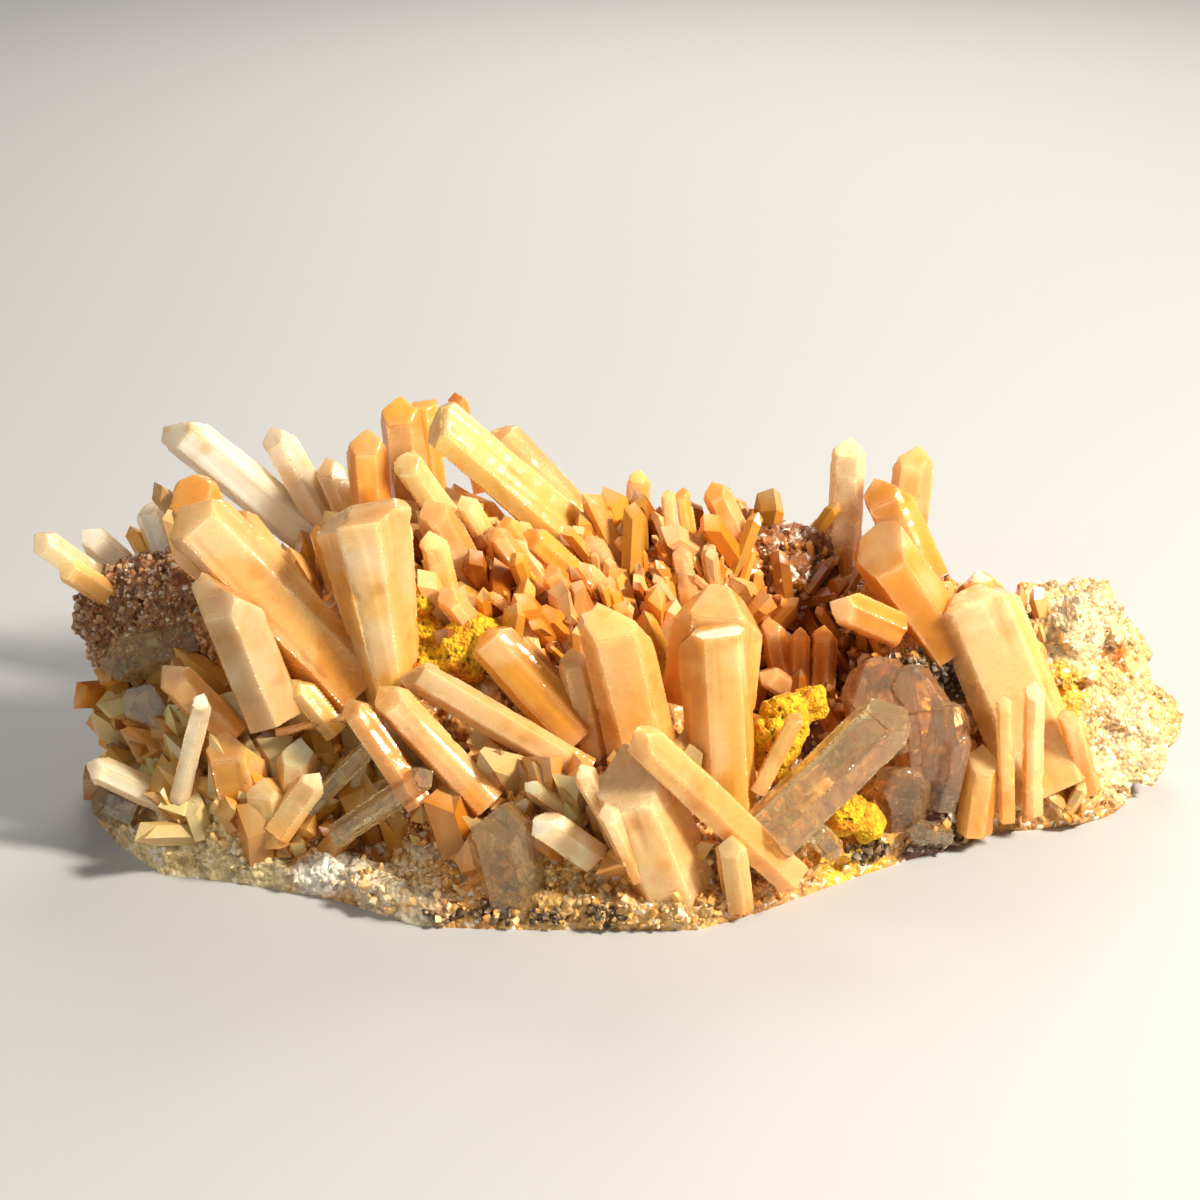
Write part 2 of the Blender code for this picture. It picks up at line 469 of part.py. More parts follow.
def build():
    parts = new_collection("citrine_cluster")
    cutters = new_collection("cutters")
    group_of = {member: name for name, members in GROUPS.items() for member in members}
    nodes = {}
    for name, row in CRYSTALS.items():
        nodes.setdefault(group_of.get(name, name), []).append(row)

    stone = rock(parts, cutters)
    shoots = join([crystal_mesh(row) for row in OFFSHOOTS.values()] + druse(stone))
    combine(stone, add_object("offshoots", shoots, cutters), "UNION")
    sockets = join([crystal_mesh(row, GAP) for row in CRYSTALS.values()])
    sockets = add_object("sockets", sockets, cutters)

    done = []
    for name, rows in nodes.items():
        thing = add_object(name, crystal_mesh(rows[0]), parts)
        for row in rows[1:]:
            combine(thing, add_object(name + "_member", crystal_mesh(row), cutters), "UNION")
        front_rows = [row for other in done if near(rows, other) for row in other]
        if front_rows:
            others = join([crystal_mesh(row, GAP) for row in front_rows])
            combine(thing, add_object(name + "_neighbours", others, cutters), "DIFFERENCE")
        tidy(thing)
        paint(thing, name, (0.86, 0.55, 0.24), 0.25, 0.4)
        done.append(rows)

    for name, nodules in OCHRE.items():
        crust = add_object(name, join([nodule_mesh(c, r) for c, r in nodules]), parts)
        combine(crust, sockets, "DIFFERENCE")
        tidy(crust)
        paint(crust, name, (0.95, 0.68, 0.06), 0.9)
        seat = join([nodule_mesh(c, r, GAP) for c, r in nodules])
        combine(stone, add_object(name + "_seat", seat, cutters), "DIFFERENCE")
    combine(stone, sockets, "DIFFERENCE")
    tidy(stone)
    paint(stone, "matrix", (0.78, 0.56, 0.3), 0.7)
    for thing in parts.objects:
        thing.location = -MIDDLE * MM


for old in list(bpy.data.objects):
    bpy.data.objects.remove(old)
build()
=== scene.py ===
# A citrine cluster, in the order it came to be: the plate of sugary quartz rock first, then the
# crystals that stand in it, from the front row to the back, then druse, manganese and ochre.
# Shapes are worked out in millimetres on the plate and become metres when a mesh is made.
import itertools
import math

import bmesh
import bpy
import numpy as np
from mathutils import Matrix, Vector, geometry


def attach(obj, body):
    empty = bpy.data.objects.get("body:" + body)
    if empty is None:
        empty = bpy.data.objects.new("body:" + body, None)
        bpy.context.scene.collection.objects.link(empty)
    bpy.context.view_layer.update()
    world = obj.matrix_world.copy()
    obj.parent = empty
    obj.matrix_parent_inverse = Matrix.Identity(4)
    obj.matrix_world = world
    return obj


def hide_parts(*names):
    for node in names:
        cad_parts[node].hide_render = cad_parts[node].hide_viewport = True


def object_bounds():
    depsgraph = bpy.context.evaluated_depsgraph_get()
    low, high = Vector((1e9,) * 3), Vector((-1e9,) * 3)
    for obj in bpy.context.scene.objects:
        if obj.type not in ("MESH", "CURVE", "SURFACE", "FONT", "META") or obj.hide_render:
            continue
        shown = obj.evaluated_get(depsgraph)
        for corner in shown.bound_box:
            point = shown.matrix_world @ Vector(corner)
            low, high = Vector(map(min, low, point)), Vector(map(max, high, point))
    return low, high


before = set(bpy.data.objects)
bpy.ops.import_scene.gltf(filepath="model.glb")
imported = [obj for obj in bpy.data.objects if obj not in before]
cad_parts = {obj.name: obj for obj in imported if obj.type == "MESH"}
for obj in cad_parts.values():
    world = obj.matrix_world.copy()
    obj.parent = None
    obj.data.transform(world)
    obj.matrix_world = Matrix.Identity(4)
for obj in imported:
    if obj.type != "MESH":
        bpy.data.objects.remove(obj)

cad_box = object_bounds()


# The table it stands on
# A plain pale floor, the main lamp at the front right, a large weak one at the left and one behind
# that shines through the crystals, and the camera in front, about 25 degrees up.
camera = bpy.data.objects.new("camera", bpy.data.cameras.new("camera"))
camera.data.lens = 75.9
camera.data.sensor_width = 36
camera.data.clip_start = 0.01
camera.location = (-0.00342, -0.38787, 0.21973)
view_line = Vector((-0.00342, 0.00184, 0.038)) - camera.location
camera.rotation_euler = view_line.to_track_quat("-Z", "Y").to_euler()
bpy.context.scene.collection.objects.link(camera)
bpy.context.scene.camera = camera
bpy.context.scene.view_settings.view_transform = "Standard"


def new_material(name):
    """A material with its node tree and its shader."""
    material = bpy.data.materials.new(name)
    material.use_nodes = True
    return material, material.node_tree, material.node_tree.nodes["Principled BSDF"]


def soft_lamp(name, place, target, size, power, colour):
    """A square area lamp at place that faces target."""
    lamp = bpy.data.objects.new(name, bpy.data.lights.new(name, "AREA"))
    lamp.data.size = size
    lamp.data.energy = power
    lamp.data.color = colour
    lamp.location = place
    lamp.rotation_euler = (Vector(target) - Vector(place)).to_track_quat("-Z", "Y").to_euler()
    bpy.context.scene.collection.objects.link(lamp)


soft_lamp("key_lamp", (0.50, -0.22, 0.50), (0, 0, 0.02), 0.12, 9.4, (1.0, 0.92, 0.80))
soft_lamp("left_lamp", (-0.55, -0.45, 0.45), (0, 0, 0.03), 0.6, 1.3, (0.92, 0.96, 1.0))
soft_lamp("rear_lamp", (0.10, 0.60, 0.45), (0, 0, 0.03), 0.4, 3.2, (1.0, 0.95, 0.88))
room = bpy.data.worlds.new("room")
room.use_nodes = True
room.node_tree.nodes["Background"].inputs["Color"].default_value = (1.0, 0.96, 0.9, 1)
room.node_tree.nodes["Background"].inputs["Strength"].default_value = 0.22
bpy.context.scene.world = room

floor_mesh = bpy.data.meshes.new("floor")
floor_mesh.from_pydata([(-3, -3, 0), (3, -3, 0), (3, 3, 0), (-3, 3, 0)], [], [(0, 1, 2, 3)])
floor = bpy.data.objects.new("floor", floor_mesh)
bpy.context.scene.collection.objects.link(floor)
floor_paint, _, floor_shader = new_material("floor")
floor_shader.inputs["Base Color"].default_value = (0.5, 0.5, 0.5, 1)
floor_shader.inputs["Roughness"].default_value = 0.85
floor_mesh.materials.append(floor_paint)


# Matrix
# The plate and mound of sugary quartz rock that every crystal stands in. It grew as a crust on the
# wall of a vein, and was broken out and sawn flat below.

# The point of the plate that lies at the middle of the frame.
MIDDLE = np.array((3.42, -1.84, 0))
BOX_LOW, BOX_HIGH = (np.array(corner) * 1000 + MIDDLE for corner in cad_box)
ROCK_GRAIN = 0.8
ROCK_INSET = 0.3
PLATE_LOW, PLATE_HIGH = -6.0, 5.5
QUARTZ_IOR = 1.54
# Masses as middle and reach, blocks as corners, and the outline of the plate.
ROCK_MASSES = (
    ((-22, 6, 8), (46, 34, 33)), ((-58, 2, 6), (27, 24, 27)), ((-57, -17, 5), (18, 12, 15)),
    ((0, -22, 4), (38, 19, 19)), ((8, 14, 22), (26, 14, 19)), ((33, 19, 30), (11, 7, 14)),
    ((36, 6, 8), (26, 22, 11)), ((48, 14, 22), (9, 8, 14)), ((60, 8, 18), (16, 14, 19)),
    ((46, -10, 3), (20, 13, 8)), ((70, 0, 3), (24, 13, 10)), ((-30, 30, 14), (30, 14, 20)),
)
ROCK_BLOCKS = (
    ((-91, 3, 37), (-90, 1, 33), (-85, -6, 29), (-80, -9, 19), (-83, 2, 14), (-72, -3, 44),
     (-80, 3, 44.5), (-66, 6, 46), (-60, 14, 42), (-87, 11, 36), (-76, 17, 38), (-62, -10, 36),
     (-58, -16, 22), (-58, 18, 12), (-80, 14, 12), (-76, -12, 12)),
    ((70, 2, 33), (79, 0, 34.5), (89, 4, 34.5), (92, 9, 33), (88, 18, 32), (74, 18, 33),
     (94, 6, 27), (97, 7, 20), (100, 7, 13), (105, 9, 10), (101, 16, 10), (74, -8, 5),
     (98, -2, 3), (100, 12, 2), (92, 24, 1), (70, 24, 1), (82, -6, 12), (92, -2, 13)),
)
PLATE_EDGE = (
    (-87, -9), (-82, -17), (-73, -27), (-62, -29), (-43, -35), (-29, -43), (-10, -44), (16, -44),
    (27, -38), (42, -28), (59, -18), (78, -8), (94, 0), (98, 10), (92, 25), (70, 30), (40, 33),
    (8, 38), (-30, 43), (-60, 36), (-80, 22), (-89, 6),
)


def seen(red, green, blue):
    """A colour as an eye or camera gives it, 0 to 255, as linear light."""
    share = np.array((red, green, blue)) / 255
    return np.where(share <= 0.04045, share / 12.92, ((share + 0.055) / 1.055) ** 2.4)


def over(under, top, share):
    """A colour, or an array of them, with another laid over it in the given share."""
    return under * (1 - share) + top * share


def cell_number(cell):
    """A whole number for each cell of a grid: its steps times three large primes, mixed by xor."""
    return (cell[:, 0] * 73856093) ^ (cell[:, 1] * 19349663) ^ (cell[:, 2] * 83492791)


def value_noise(points, seed):
    """Numbers from -1 to 1: a hash of each whole-number corner round a point, blended across the
    cell by 3t^2 - 2t^3."""
    base = np.floor(points)
    part = points - base
    base = base.astype(np.int64)
    part = part * part * (3 - 2 * part)
    total = np.zeros(len(points))
    for corner in itertools.product((0, 1), repeat=3):
        mixed = cell_number(base + np.array(corner))
        mixed = ((mixed ^ (seed * 7919 + 101)) & 0x7FFFFFFF) * 1103515245 & 0x7FFFFFFF
        mixed = (mixed ^ (mixed >> 15)) * 40503 & 0x7FFFFFFF
        number = ((mixed >> 7) & 0xFFFF) / 32767.5 - 1
        total += number * np.prod(np.where(corner, part, 1 - part), axis=1)
    return total


def layered_noise(points, seed, layers):
    """Sum of value noises, each twice as fine and half as strong as the one before."""
    return sum(value_noise(points * 2 ** i, seed + 31 * i) / 2 ** i for i in range(layers))


def cell_grain(points, size, seed):
    """Splits space into jittered cells and gives each point the random numbers of the nearest
    cell centre, and the way from that centre."""
    base = np.floor(points / size).astype(np.int64)
    nearest = np.full(len(points), 1e9)
    numbers = np.zeros((len(points), 3))
    away = np.zeros((len(points), 3))
    for step in itertools.product((-1, 0, 1), repeat=3):
        cell = base + np.array(step)
        mixed = cell_number(cell)
        drawn = np.stack([(((mixed + seed + 977 * i) * 2654435761 >> 9) & 0xFFFF) / 65535
                          for i in range(3)], axis=1)
        gap = points - (cell + drawn) * size
        far = (gap ** 2).sum(1)
        closer = far < nearest
        nearest[closer] = far[closer]
        numbers[closer] = drawn[closer]
        away[closer] = gap[closer]
    return numbers, away


def broken_face(points, size, seed, number, tilt, step):
    """How far a broken face stands out at each point: in every cell it is tilted its own way, and
    lies higher or lower by that random number of the cell, up to half a step."""
    facets, away = cell_grain(points, size, seed)
    return (away * (facets - 0.5)).sum(1) * tilt + (facets[:, number] - 0.5) * step


def ball(centre, reach, rows=20, columns=40):
    """A closed ball on a grid of latitude and longitude, stretched by reach along X, Y and Z."""
    down = np.linspace(0, np.pi, rows + 1)[1:-1, None]
    around = np.linspace(0, 2 * np.pi, columns, endpoint=False)[None, :]
    grid = np.stack([np.sin(down) * np.cos(around), np.sin(down) * np.sin(around),
                     np.cos(down) + 0 * around], axis=2).reshape(-1, 3)
    points = np.vstack([grid, (0, 0, 1), (0, 0, -1)]) * reach + centre
    here = np.arange((rows - 2) * columns).reshape(rows - 2, columns)
    right = (here + 1) % columns + here // columns * columns
    sides = np.stack([here, here + columns, right + columns, right], axis=2).reshape(-1, 4)
    lap = np.arange(columns)
    top, low = len(grid), len(grid) + 1
    last = (rows - 2) * columns
    faces = [tuple(f) for f in sides.tolist()]
    faces += [(top, a, b) for a, b in zip(lap.tolist(), np.roll(lap, -1).tolist())]
    faces += [(low, last + b, last + a) for a, b in zip(lap.tolist(), np.roll(lap, -1).tolist())]
    return points, faces


def hull(corners):
    """The closed convex skin round a set of corners."""
    skin = bmesh.new()
    for corner in corners:
        skin.verts.new(corner)
    bmesh.ops.convex_hull(skin, input=skin.verts)
    bmesh.ops.delete(skin, geom=[v for v in skin.verts if not v.link_faces], context="VERTS")
    skin.verts.index_update()
    points = np.array([v.co for v in skin.verts])
    faces = [tuple(v.index for v in f.verts) for f in skin.faces]
    skin.free()
    return points, faces


def gather(bodies):
    """Several (points, faces) bodies in one pair, still apart from one another."""
    starts = np.cumsum([0] + [len(points) for points, _ in bodies[:-1]])
    faces = [tuple(i + start for i in face) for start, (_, body) in zip(starts.tolist(), bodies)
             for face in body]
    return np.vstack([points for points, _ in bodies]), faces


def melt(bodies, grain):
    """One skin of even squares, grain wide, round all the bodies, as a bmesh."""
    points, faces = gather(bodies)
    mesh = bpy.data.meshes.new("melt")
    mesh.from_pydata(points.tolist(), [], faces)
    thing = bpy.data.objects.new("melt", mesh)
    bpy.context.scene.collection.objects.link(thing)
    remesh = thing.modifiers.new("melt", "REMESH")
    remesh.mode = "VOXEL"
    remesh.voxel_size = grain
    made = thing.evaluated_get(bpy.context.evaluated_depsgraph_get()).data
    skin = bmesh.new()
    skin.from_mesh(made)
    bpy.data.objects.remove(thing)
    bpy.data.meshes.remove(mesh)
    return skin


def mesh_arrays(skin):
    """Points, faces and normals of a bmesh, which is freed."""
    skin.verts.index_update()
    skin.normal_update()
    points = np.array([v.co for v in skin.verts])
    normals = np.array([v.normal for v in skin.verts])
    faces = [tuple(v.index for v in f.verts) for f in skin.faces]
    skin.free()
    return points, faces, normals


def smooth_share(value, low, high):
    """0 below low, 1 above high, and 3t^2 - 2t^3 between."""
    share = np.clip((value - low) / (high - low), 0, 1)
    return share * share * (3 - 2 * share)


def settle(name, points, faces, material, node, tint=None, along=None, crease=None):
    """Puts a piece in its place as a mesh in metres, with its colours and how far along its crystal
    each point lies, and makes it stand for a node of the solid model."""
    mesh = bpy.data.meshes.new(name)
    mesh.from_pydata(((points - MIDDLE) * 0.001).tolist(), [], faces)
    mesh.shade_smooth()
    if crease is not None:
        mesh.set_sharp_from_angle(angle=math.radians(crease))
    if tint is not None:
        colours = mesh.attributes.new("tint", "FLOAT_COLOR", "POINT")
        colours.data.foreach_set("color", np.hstack([tint, np.ones((len(tint), 1))]).ravel())
    if along is not None:
        mesh.attributes.new("along", "FLOAT", "POINT").data.foreach_set("value", along)
    mesh.materials.append(material)
    mesh.update()
    piece = bpy.data.objects.new(name, mesh)
    bpy.context.scene.collection.objects.link(piece)
    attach(piece, "root")
    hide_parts(node)
    return piece


def wire(tree, kind, inputs=None, **settings):
    """Adds a node, sets it, and gives each named input a value or a socket."""
    made = tree.nodes.new(kind)
    for key, value in settings.items():
        setattr(made, key, value)
    for key, value in (inputs or {}).items():
        if isinstance(value, bpy.types.NodeSocket):
            tree.links.new(value, made.inputs[key])
        else:
            made.inputs[key].default_value = value
    return made


def reckon(tree, operation, first, second):
    """The outcome of a sum on two numbers or sockets."""
    return wire(tree, "ShaderNodeMath", {0: first, 1: second}, operation=operation).outputs[0]


def remap(tree, value, start, end, low=0.0, high=1.0):
    """A value with what lies from start to end spread over low to high."""
    return wire(tree, "ShaderNodeMapRange", {"Value": value, "From Min": start, "From Max": end,
                                             "To Min": low, "To Max": high}).outputs[0]


def lit_by(tree, colour, light):
    """A colour times a number or another colour."""
    made = wire(tree, "ShaderNodeVectorMath", {0: colour, 1: light}, operation="MULTIPLY")
    return made.outputs[0]


def raise_relief(tree, shader, height, strength, deep, **settings):
    """Lets a height show on the surface as a relief that is deep metres from low to high."""
    bump = wire(tree, "ShaderNodeBump", {"Height": height, "Strength": strength,
                                         "Distance": deep}, **settings)
    tree.links.new(bump.outputs["Normal"], shader.inputs["Normal"])


def new_group(name, inputs, outputs):
    """A node group with plain number inputs and the outputs named with their socket types."""
    group = bpy.data.node_groups.new(name, "ShaderNodeTree")
    for label, value in inputs.items():
        socket = group.interface.new_socket(label, in_out="INPUT", socket_type="NodeSocketFloat")
        socket.default_value = value
    for label, kind in outputs.items():
        group.interface.new_socket(label, in_out="OUTPUT", socket_type=kind)
    return group, group.nodes.new("NodeGroupInput"), group.nodes.new("NodeGroupOutput")


def sugar_group():
    """Grains of quartz side by side: each grain has its own brightness and gloss, its rim lies low,
    and a few grains are white."""
    group, given, put = new_group("sugar_grain", {"Size": 1.0},
                                  {"Light": "NodeSocketFloat", "White": "NodeSocketFloat",
                                   "Gloss": "NodeSocketFloat", "Height": "NodeSocketFloat"})
    spot = wire(group, "ShaderNodeTexCoord").outputs["Object"]
    fine = reckon(group, "DIVIDE", 1100.0, given.outputs["Size"])
    grains = wire(group, "ShaderNodeTexVoronoi", {"Vector": spot, "Scale": fine})
    parts = wire(group, "ShaderNodeSeparateColor", {"Color": grains.outputs["Color"]})
    coarse = reckon(group, "MULTIPLY", fine, 0.3)
    lumps = wire(group, "ShaderNodeTexVoronoi", {"Vector": spot, "Scale": coarse})
    cloud = wire(group, "ShaderNodeTexNoise", {"Vector": spot, "Scale": 420.0, "Detail": 2.0})
    light = remap(group, parts.outputs["Red"], 0, 1, 0.62, 1.3)
    mottle = remap(group, cloud.outputs["Fac"], 0.3, 0.7, 0.75, 1.2)
    high = reckon(group, "MULTIPLY", lumps.outputs["Distance"], 1.6)
    total = reckon(group, "ADD", grains.outputs["Distance"], high)
    for label, socket in (("Light", reckon(group, "MULTIPLY", light, mottle)),
                          ("White", remap(group, parts.outputs["Green"], 0.86, 0.98)),
                          ("Gloss", remap(group, parts.outputs["Blue"], 0, 1, 0.12, 0.75)),
                          ("Height", reckon(group, "SUBTRACT", 1.0, total))):
        group.links.new(socket, put.inputs[label])
    return group


sugar_grain = sugar_group()


def rock_finish(name, size, bump):
    """Sugary rock: the colours of the piece, broken into grains that each catch the light."""
    material, tree, shader = new_material(name)
    grain = wire(tree, "ShaderNodeGroup", node_tree=sugar_grain)
    grain.inputs["Size"].default_value = size
    tint = wire(tree, "ShaderNodeAttribute", attribute_name="tint")
    lit = lit_by(tree, tint.outputs["Color"], grain.outputs["Light"])
    sugar = wire(tree, "ShaderNodeMix", {"Factor": grain.outputs["White"], 6: lit,
                                         7: (0.92, 0.84, 0.68, 1)}, data_type="RGBA")
    tree.links.new(sugar.outputs[2], shader.inputs["Base Color"])
    tree.links.new(grain.outputs["Gloss"], shader.inputs["Roughness"])
    raise_relief(tree, shader, grain.outputs["Height"], bump, 0.0006)
    shader.inputs["IOR"].default_value = QUARTZ_IOR
    return material


plate_edge = np.array(PLATE_EDGE)
edge_count = len(plate_edge)
plate_points = np.vstack([np.column_stack([plate_edge, np.full(edge_count, PLATE_LOW)]),
                          np.column_stack([plate_edge, np.full(edge_count, PLATE_HIGH)])])
plate_faces = [tuple(range(edge_count))[::-1], tuple(range(edge_count, 2 * edge_count))]
plate_faces += [(i, (i + 1) % edge_count, (i + 1) % edge_count + edge_count, i + edge_count)
                for i in range(edge_count)]
rock_skin = melt([(plate_points, plate_faces)] + [hull(c) for c in ROCK_BLOCKS] +
                 [ball(c, r) for c, r in ROCK_MASSES], ROCK_GRAIN)
sawn = bmesh.ops.bisect_plane(rock_skin, geom=rock_skin.verts[:] + rock_skin.edges[:] +
                              rock_skin.faces[:], plane_co=(0, 0, 0), plane_no=(0, 0, -1),
                              dist=1e-4, clear_outer=True)
bmesh.ops.edgeloop_fill(rock_skin, edges=[e for e in sawn["geom_cut"]
                                          if isinstance(e, bmesh.types.BMEdge) and e.is_boundary])
rock_points, rock_faces, rock_normals = mesh_arrays(rock_skin)
stands_up = smooth_share(rock_points[:, 2], 0.0, 2.5)
swell = 1.7 * value_noise(rock_points * 0.11, 3) + 0.9 * value_noise(rock_points * 0.31, 4)
coarse_grain = broken_face(rock_points + 0.8 * value_noise(rock_points * 0.5, 9)[:, None], 4.2, 5,
                           0, 0.55, 0.9)
fine_grain = broken_face(rock_points, 1.9, 6, 1, 0.7, 0.55)
blocks = broken_face(rock_points + 1.2 * value_noise(rock_points * 0.3, 10)[:, None], 8.5, 7,
                     2, 0.55, 1.2)
blocky = smooth_share(rock_points[:, 0], 62, 74)
rise = swell + coarse_grain * (1 - 0.5 * blocky) + fine_grain * (1 - 0.65 * blocky) + \
    blocks * blocky + 0.25 * value_noise(rock_points * 0.9, 8)
rock_flow = rock_normals.copy()
rock_flow[rock_points[:, 2] < 0.01] = 0
rock_points = rock_points + rock_flow * (rise * stands_up)[:, None]
# The right end and the back are drawn in, from bend on, so that they stay inside the solid's box.
for side, bend in ((0, 86.0), (1, 28.0)):
    beyond = np.maximum(rock_points[:, side] - bend, 0)
    reach = BOX_HIGH[side] - ROCK_INSET - bend
    rock_points[:, side] -= beyond * (1 - min(1.0, reach / beyond.max()))

# Stains, and painted shade in the hollow and on its back rim: centre, reach, colour. Later ones lie
# over earlier ones.
ROCK_BODY = seen(222, 160, 84)
ROCK_STAINS_AND_SHADE = (
    ((-78, 0, 34), 17, (158, 104, 62)), ((-72, -10, 30), 10, (176, 124, 76)),
    ((-76, -20, 10), 17, (206, 176, 124)), ((-57, -27, 18), 15, (222, 148, 54)),
    ((-46, -36, 7), 8, (246, 236, 214)), ((-58, -32, 4), 9, (236, 214, 158)),
    ((-34, -40, 6), 9, (240, 216, 176)), ((-70, -26, 3), 12, (232, 206, 148)),
    ((0, -42, 4), 16, (214, 168, 96)), ((-25, -30, 18), 9, (176, 106, 44)),
    ((6, 8, 40), 16, (208, 130, 56)), ((-20, 0, 40), 14, (214, 142, 66)),
    # The dark browns at (37, 2, 19), (33, 19, 40) and (44, 12, 26) are the rock's brown darkened by
    # painted shade in the hollow and on its back rim.
    ((0, -20, 26), 12, (196, 116, 46)), ((37, 2, 19), 15, (126, 66, 26)),
    ((33, 19, 40), 11, (150, 92, 48)), ((44, 12, 26), 9, (160, 92, 40)),
    ((52, -8, 29), 6, (52, 36, 26)), ((60, -6, 26), 6, (84, 58, 34)),
    ((58, -20, 5), 9, (112, 72, 58)), ((45, -29, 5), 7, (232, 178, 56)),
    ((88, 5, 20), 22, (240, 192, 122)), ((84, 4, 34), 9, (244, 214, 162)),
    ((92, 2, 8), 10, (238, 204, 148)), ((91, 3, 26), 3, (206, 116, 34)),
    ((79, -4, 22), 5, (236, 188, 66)), ((57, -14, 22), 5, (226, 176, 60)),
)
rock_tint = np.tile(ROCK_BODY, (len(rock_points), 1))
wander = 0.35 * layered_noise(rock_points / 6, 21, 3)
for patch_centre, patch_reach, patch_colour in ROCK_STAINS_AND_SHADE:
    apart = np.linalg.norm(rock_points - patch_centre, axis=1) / patch_reach
    share = smooth_share(1.25 - apart + wander, 0.0, 0.45)[:, None]
    rock_tint = over(rock_tint, seen(*patch_colour), share)
rock_tint *= (1 + 0.22 * layered_noise(rock_points / 3, 22, 3))[:, None]
rock_tint = np.clip(rock_tint, 0.005, 0.95)
settle("rock", rock_points, rock_faces, rock_finish("sugary_rock", 1.0, 0.8), "matrix",
       tint=rock_tint, crease=48)


# Front row
# The large pink crystal of the front edge with two cream riders, the long peach spar across it, and
# three crystals that lean away from its foot. Quartz, six prism sides below pyramid faces.

# The way the fan opens, which a side with roll 0 faces, and the lean of a pyramid face of quartz.
FAN = np.array((0, -0.906, 0.423))
RHOMB = 38.0
# Steps of the net on slim and on broad crystals, the width that parts them, the angle of an edge
# that stays sharp, and how far above the table a crystal is cut.
FINE_PACE, COARSE_PACE, SLIM = 0.36, 0.45, 6.5
CRYSTAL_CREASE = 33
TABLE_GAP = 0.6
PEACH, BLUSH, APRICOT = seen(252, 198, 122), seen(252, 206, 144), seen(246, 176, 82)
# The rust brown is also used as painted shade: at the feet of the crystals in the tangle and the
# hollow, and among the small points between them.
ORANGE, RUST_AND_SHADE, HONEY = seen(238, 152, 48), seen(178, 96, 24), seen(244, 182, 70)
LEMON, CREAM, OLIVE = seen(254, 224, 152), seen(254, 234, 190), seen(226, 182, 92)
TAN, GREY, MILK = seen(236, 190, 122), seen(222, 194, 148), seen(242, 238, 222)
SMOKE, GLASS, AMBER = seen(160, 98, 44), seen(240, 212, 158), seen(220, 142, 44)
SAND = seen(212, 168, 108)


def crystal_sides(row):
    """Faces of a crystal as points and outward normals: six prism sides turned by roll, a pyramid
    face above each at the slope of quartz or the listed end faces, its foot, and the table. Sides
    that aren't listed are a little uneven, and every second pyramid face is a small one."""
    foot, tip = row["foot"], row["tip"]
    length = np.linalg.norm(tip - foot)
    axis = (tip - foot) / length
    front = FAN - axis * (FAN @ axis)
    front /= np.linalg.norm(front)
    across = np.cross(front, axis)
    half = row["width"] / 2
    deep = half * row.get("flat", 1.0)
    places, normals = [foot], [-axis]
    chance = np.random.default_rng(int(abs(foot @ (131.0, 71.0, 37.0) + tip[0])))
    sides = row.get("sides", chance.uniform(0.86, 1.14, 6))
    tops = (chance.uniform(-0.1, 0.06, 6) + (0, 0.3, 0, 0.2, 0, 0.36)) * row["width"]
    for number in range(6):
        turn = math.radians(row.get("roll", 0) + 60 * number)
        out = front * (math.cos(turn) / deep) + across * (math.sin(turn) / half)
        reach = math.cos(math.radians(30)) / np.linalg.norm(out) * sides[number]
        out /= np.linalg.norm(out)
        side = out + axis * (reach * (1 - row.get("taper", 1.0)) / length)
        places.append(foot + out * reach)
        normals.append(side / np.linalg.norm(side))
        if "ends" not in row:
            lean = math.radians(row.get("slope", RHOMB))
            places.append(tip + axis * tops[number])
            normals.append(out * math.cos(lean) + axis * math.sin(lean))
    for turn, lean, beyond in row.get("ends", ()):
        turn, lean = math.radians(turn), math.radians(lean)
        out = front * math.cos(turn) + across * math.sin(turn)
        places.append(tip + axis * beyond)
        normals.append(out * math.cos(lean) + axis * math.sin(lean))
    places.append(np.array((0, 0, TABLE_GAP)))
    normals.append(np.array((0, 0, -1.0)))
    return np.array(places), np.array(normals), axis


def convex_corners(places, normals):
    """Every point where three faces meet and that lies outside none of them."""
    reach = (places * normals).sum(1)
    triples = np.array(list(itertools.combinations(range(len(reach)), 3)))
    sets = normals[triples]
    meets = np.abs(np.linalg.det(sets)) > 1e-5
    found = np.linalg.solve(sets[meets], reach[triples[meets]][:, :, None])[:, :, 0]
    found = found[((found @ normals.T - reach) < 1e-5).all(1)]
    return found[np.unique(np.round(found, 3), axis=0, return_index=True)[1]]


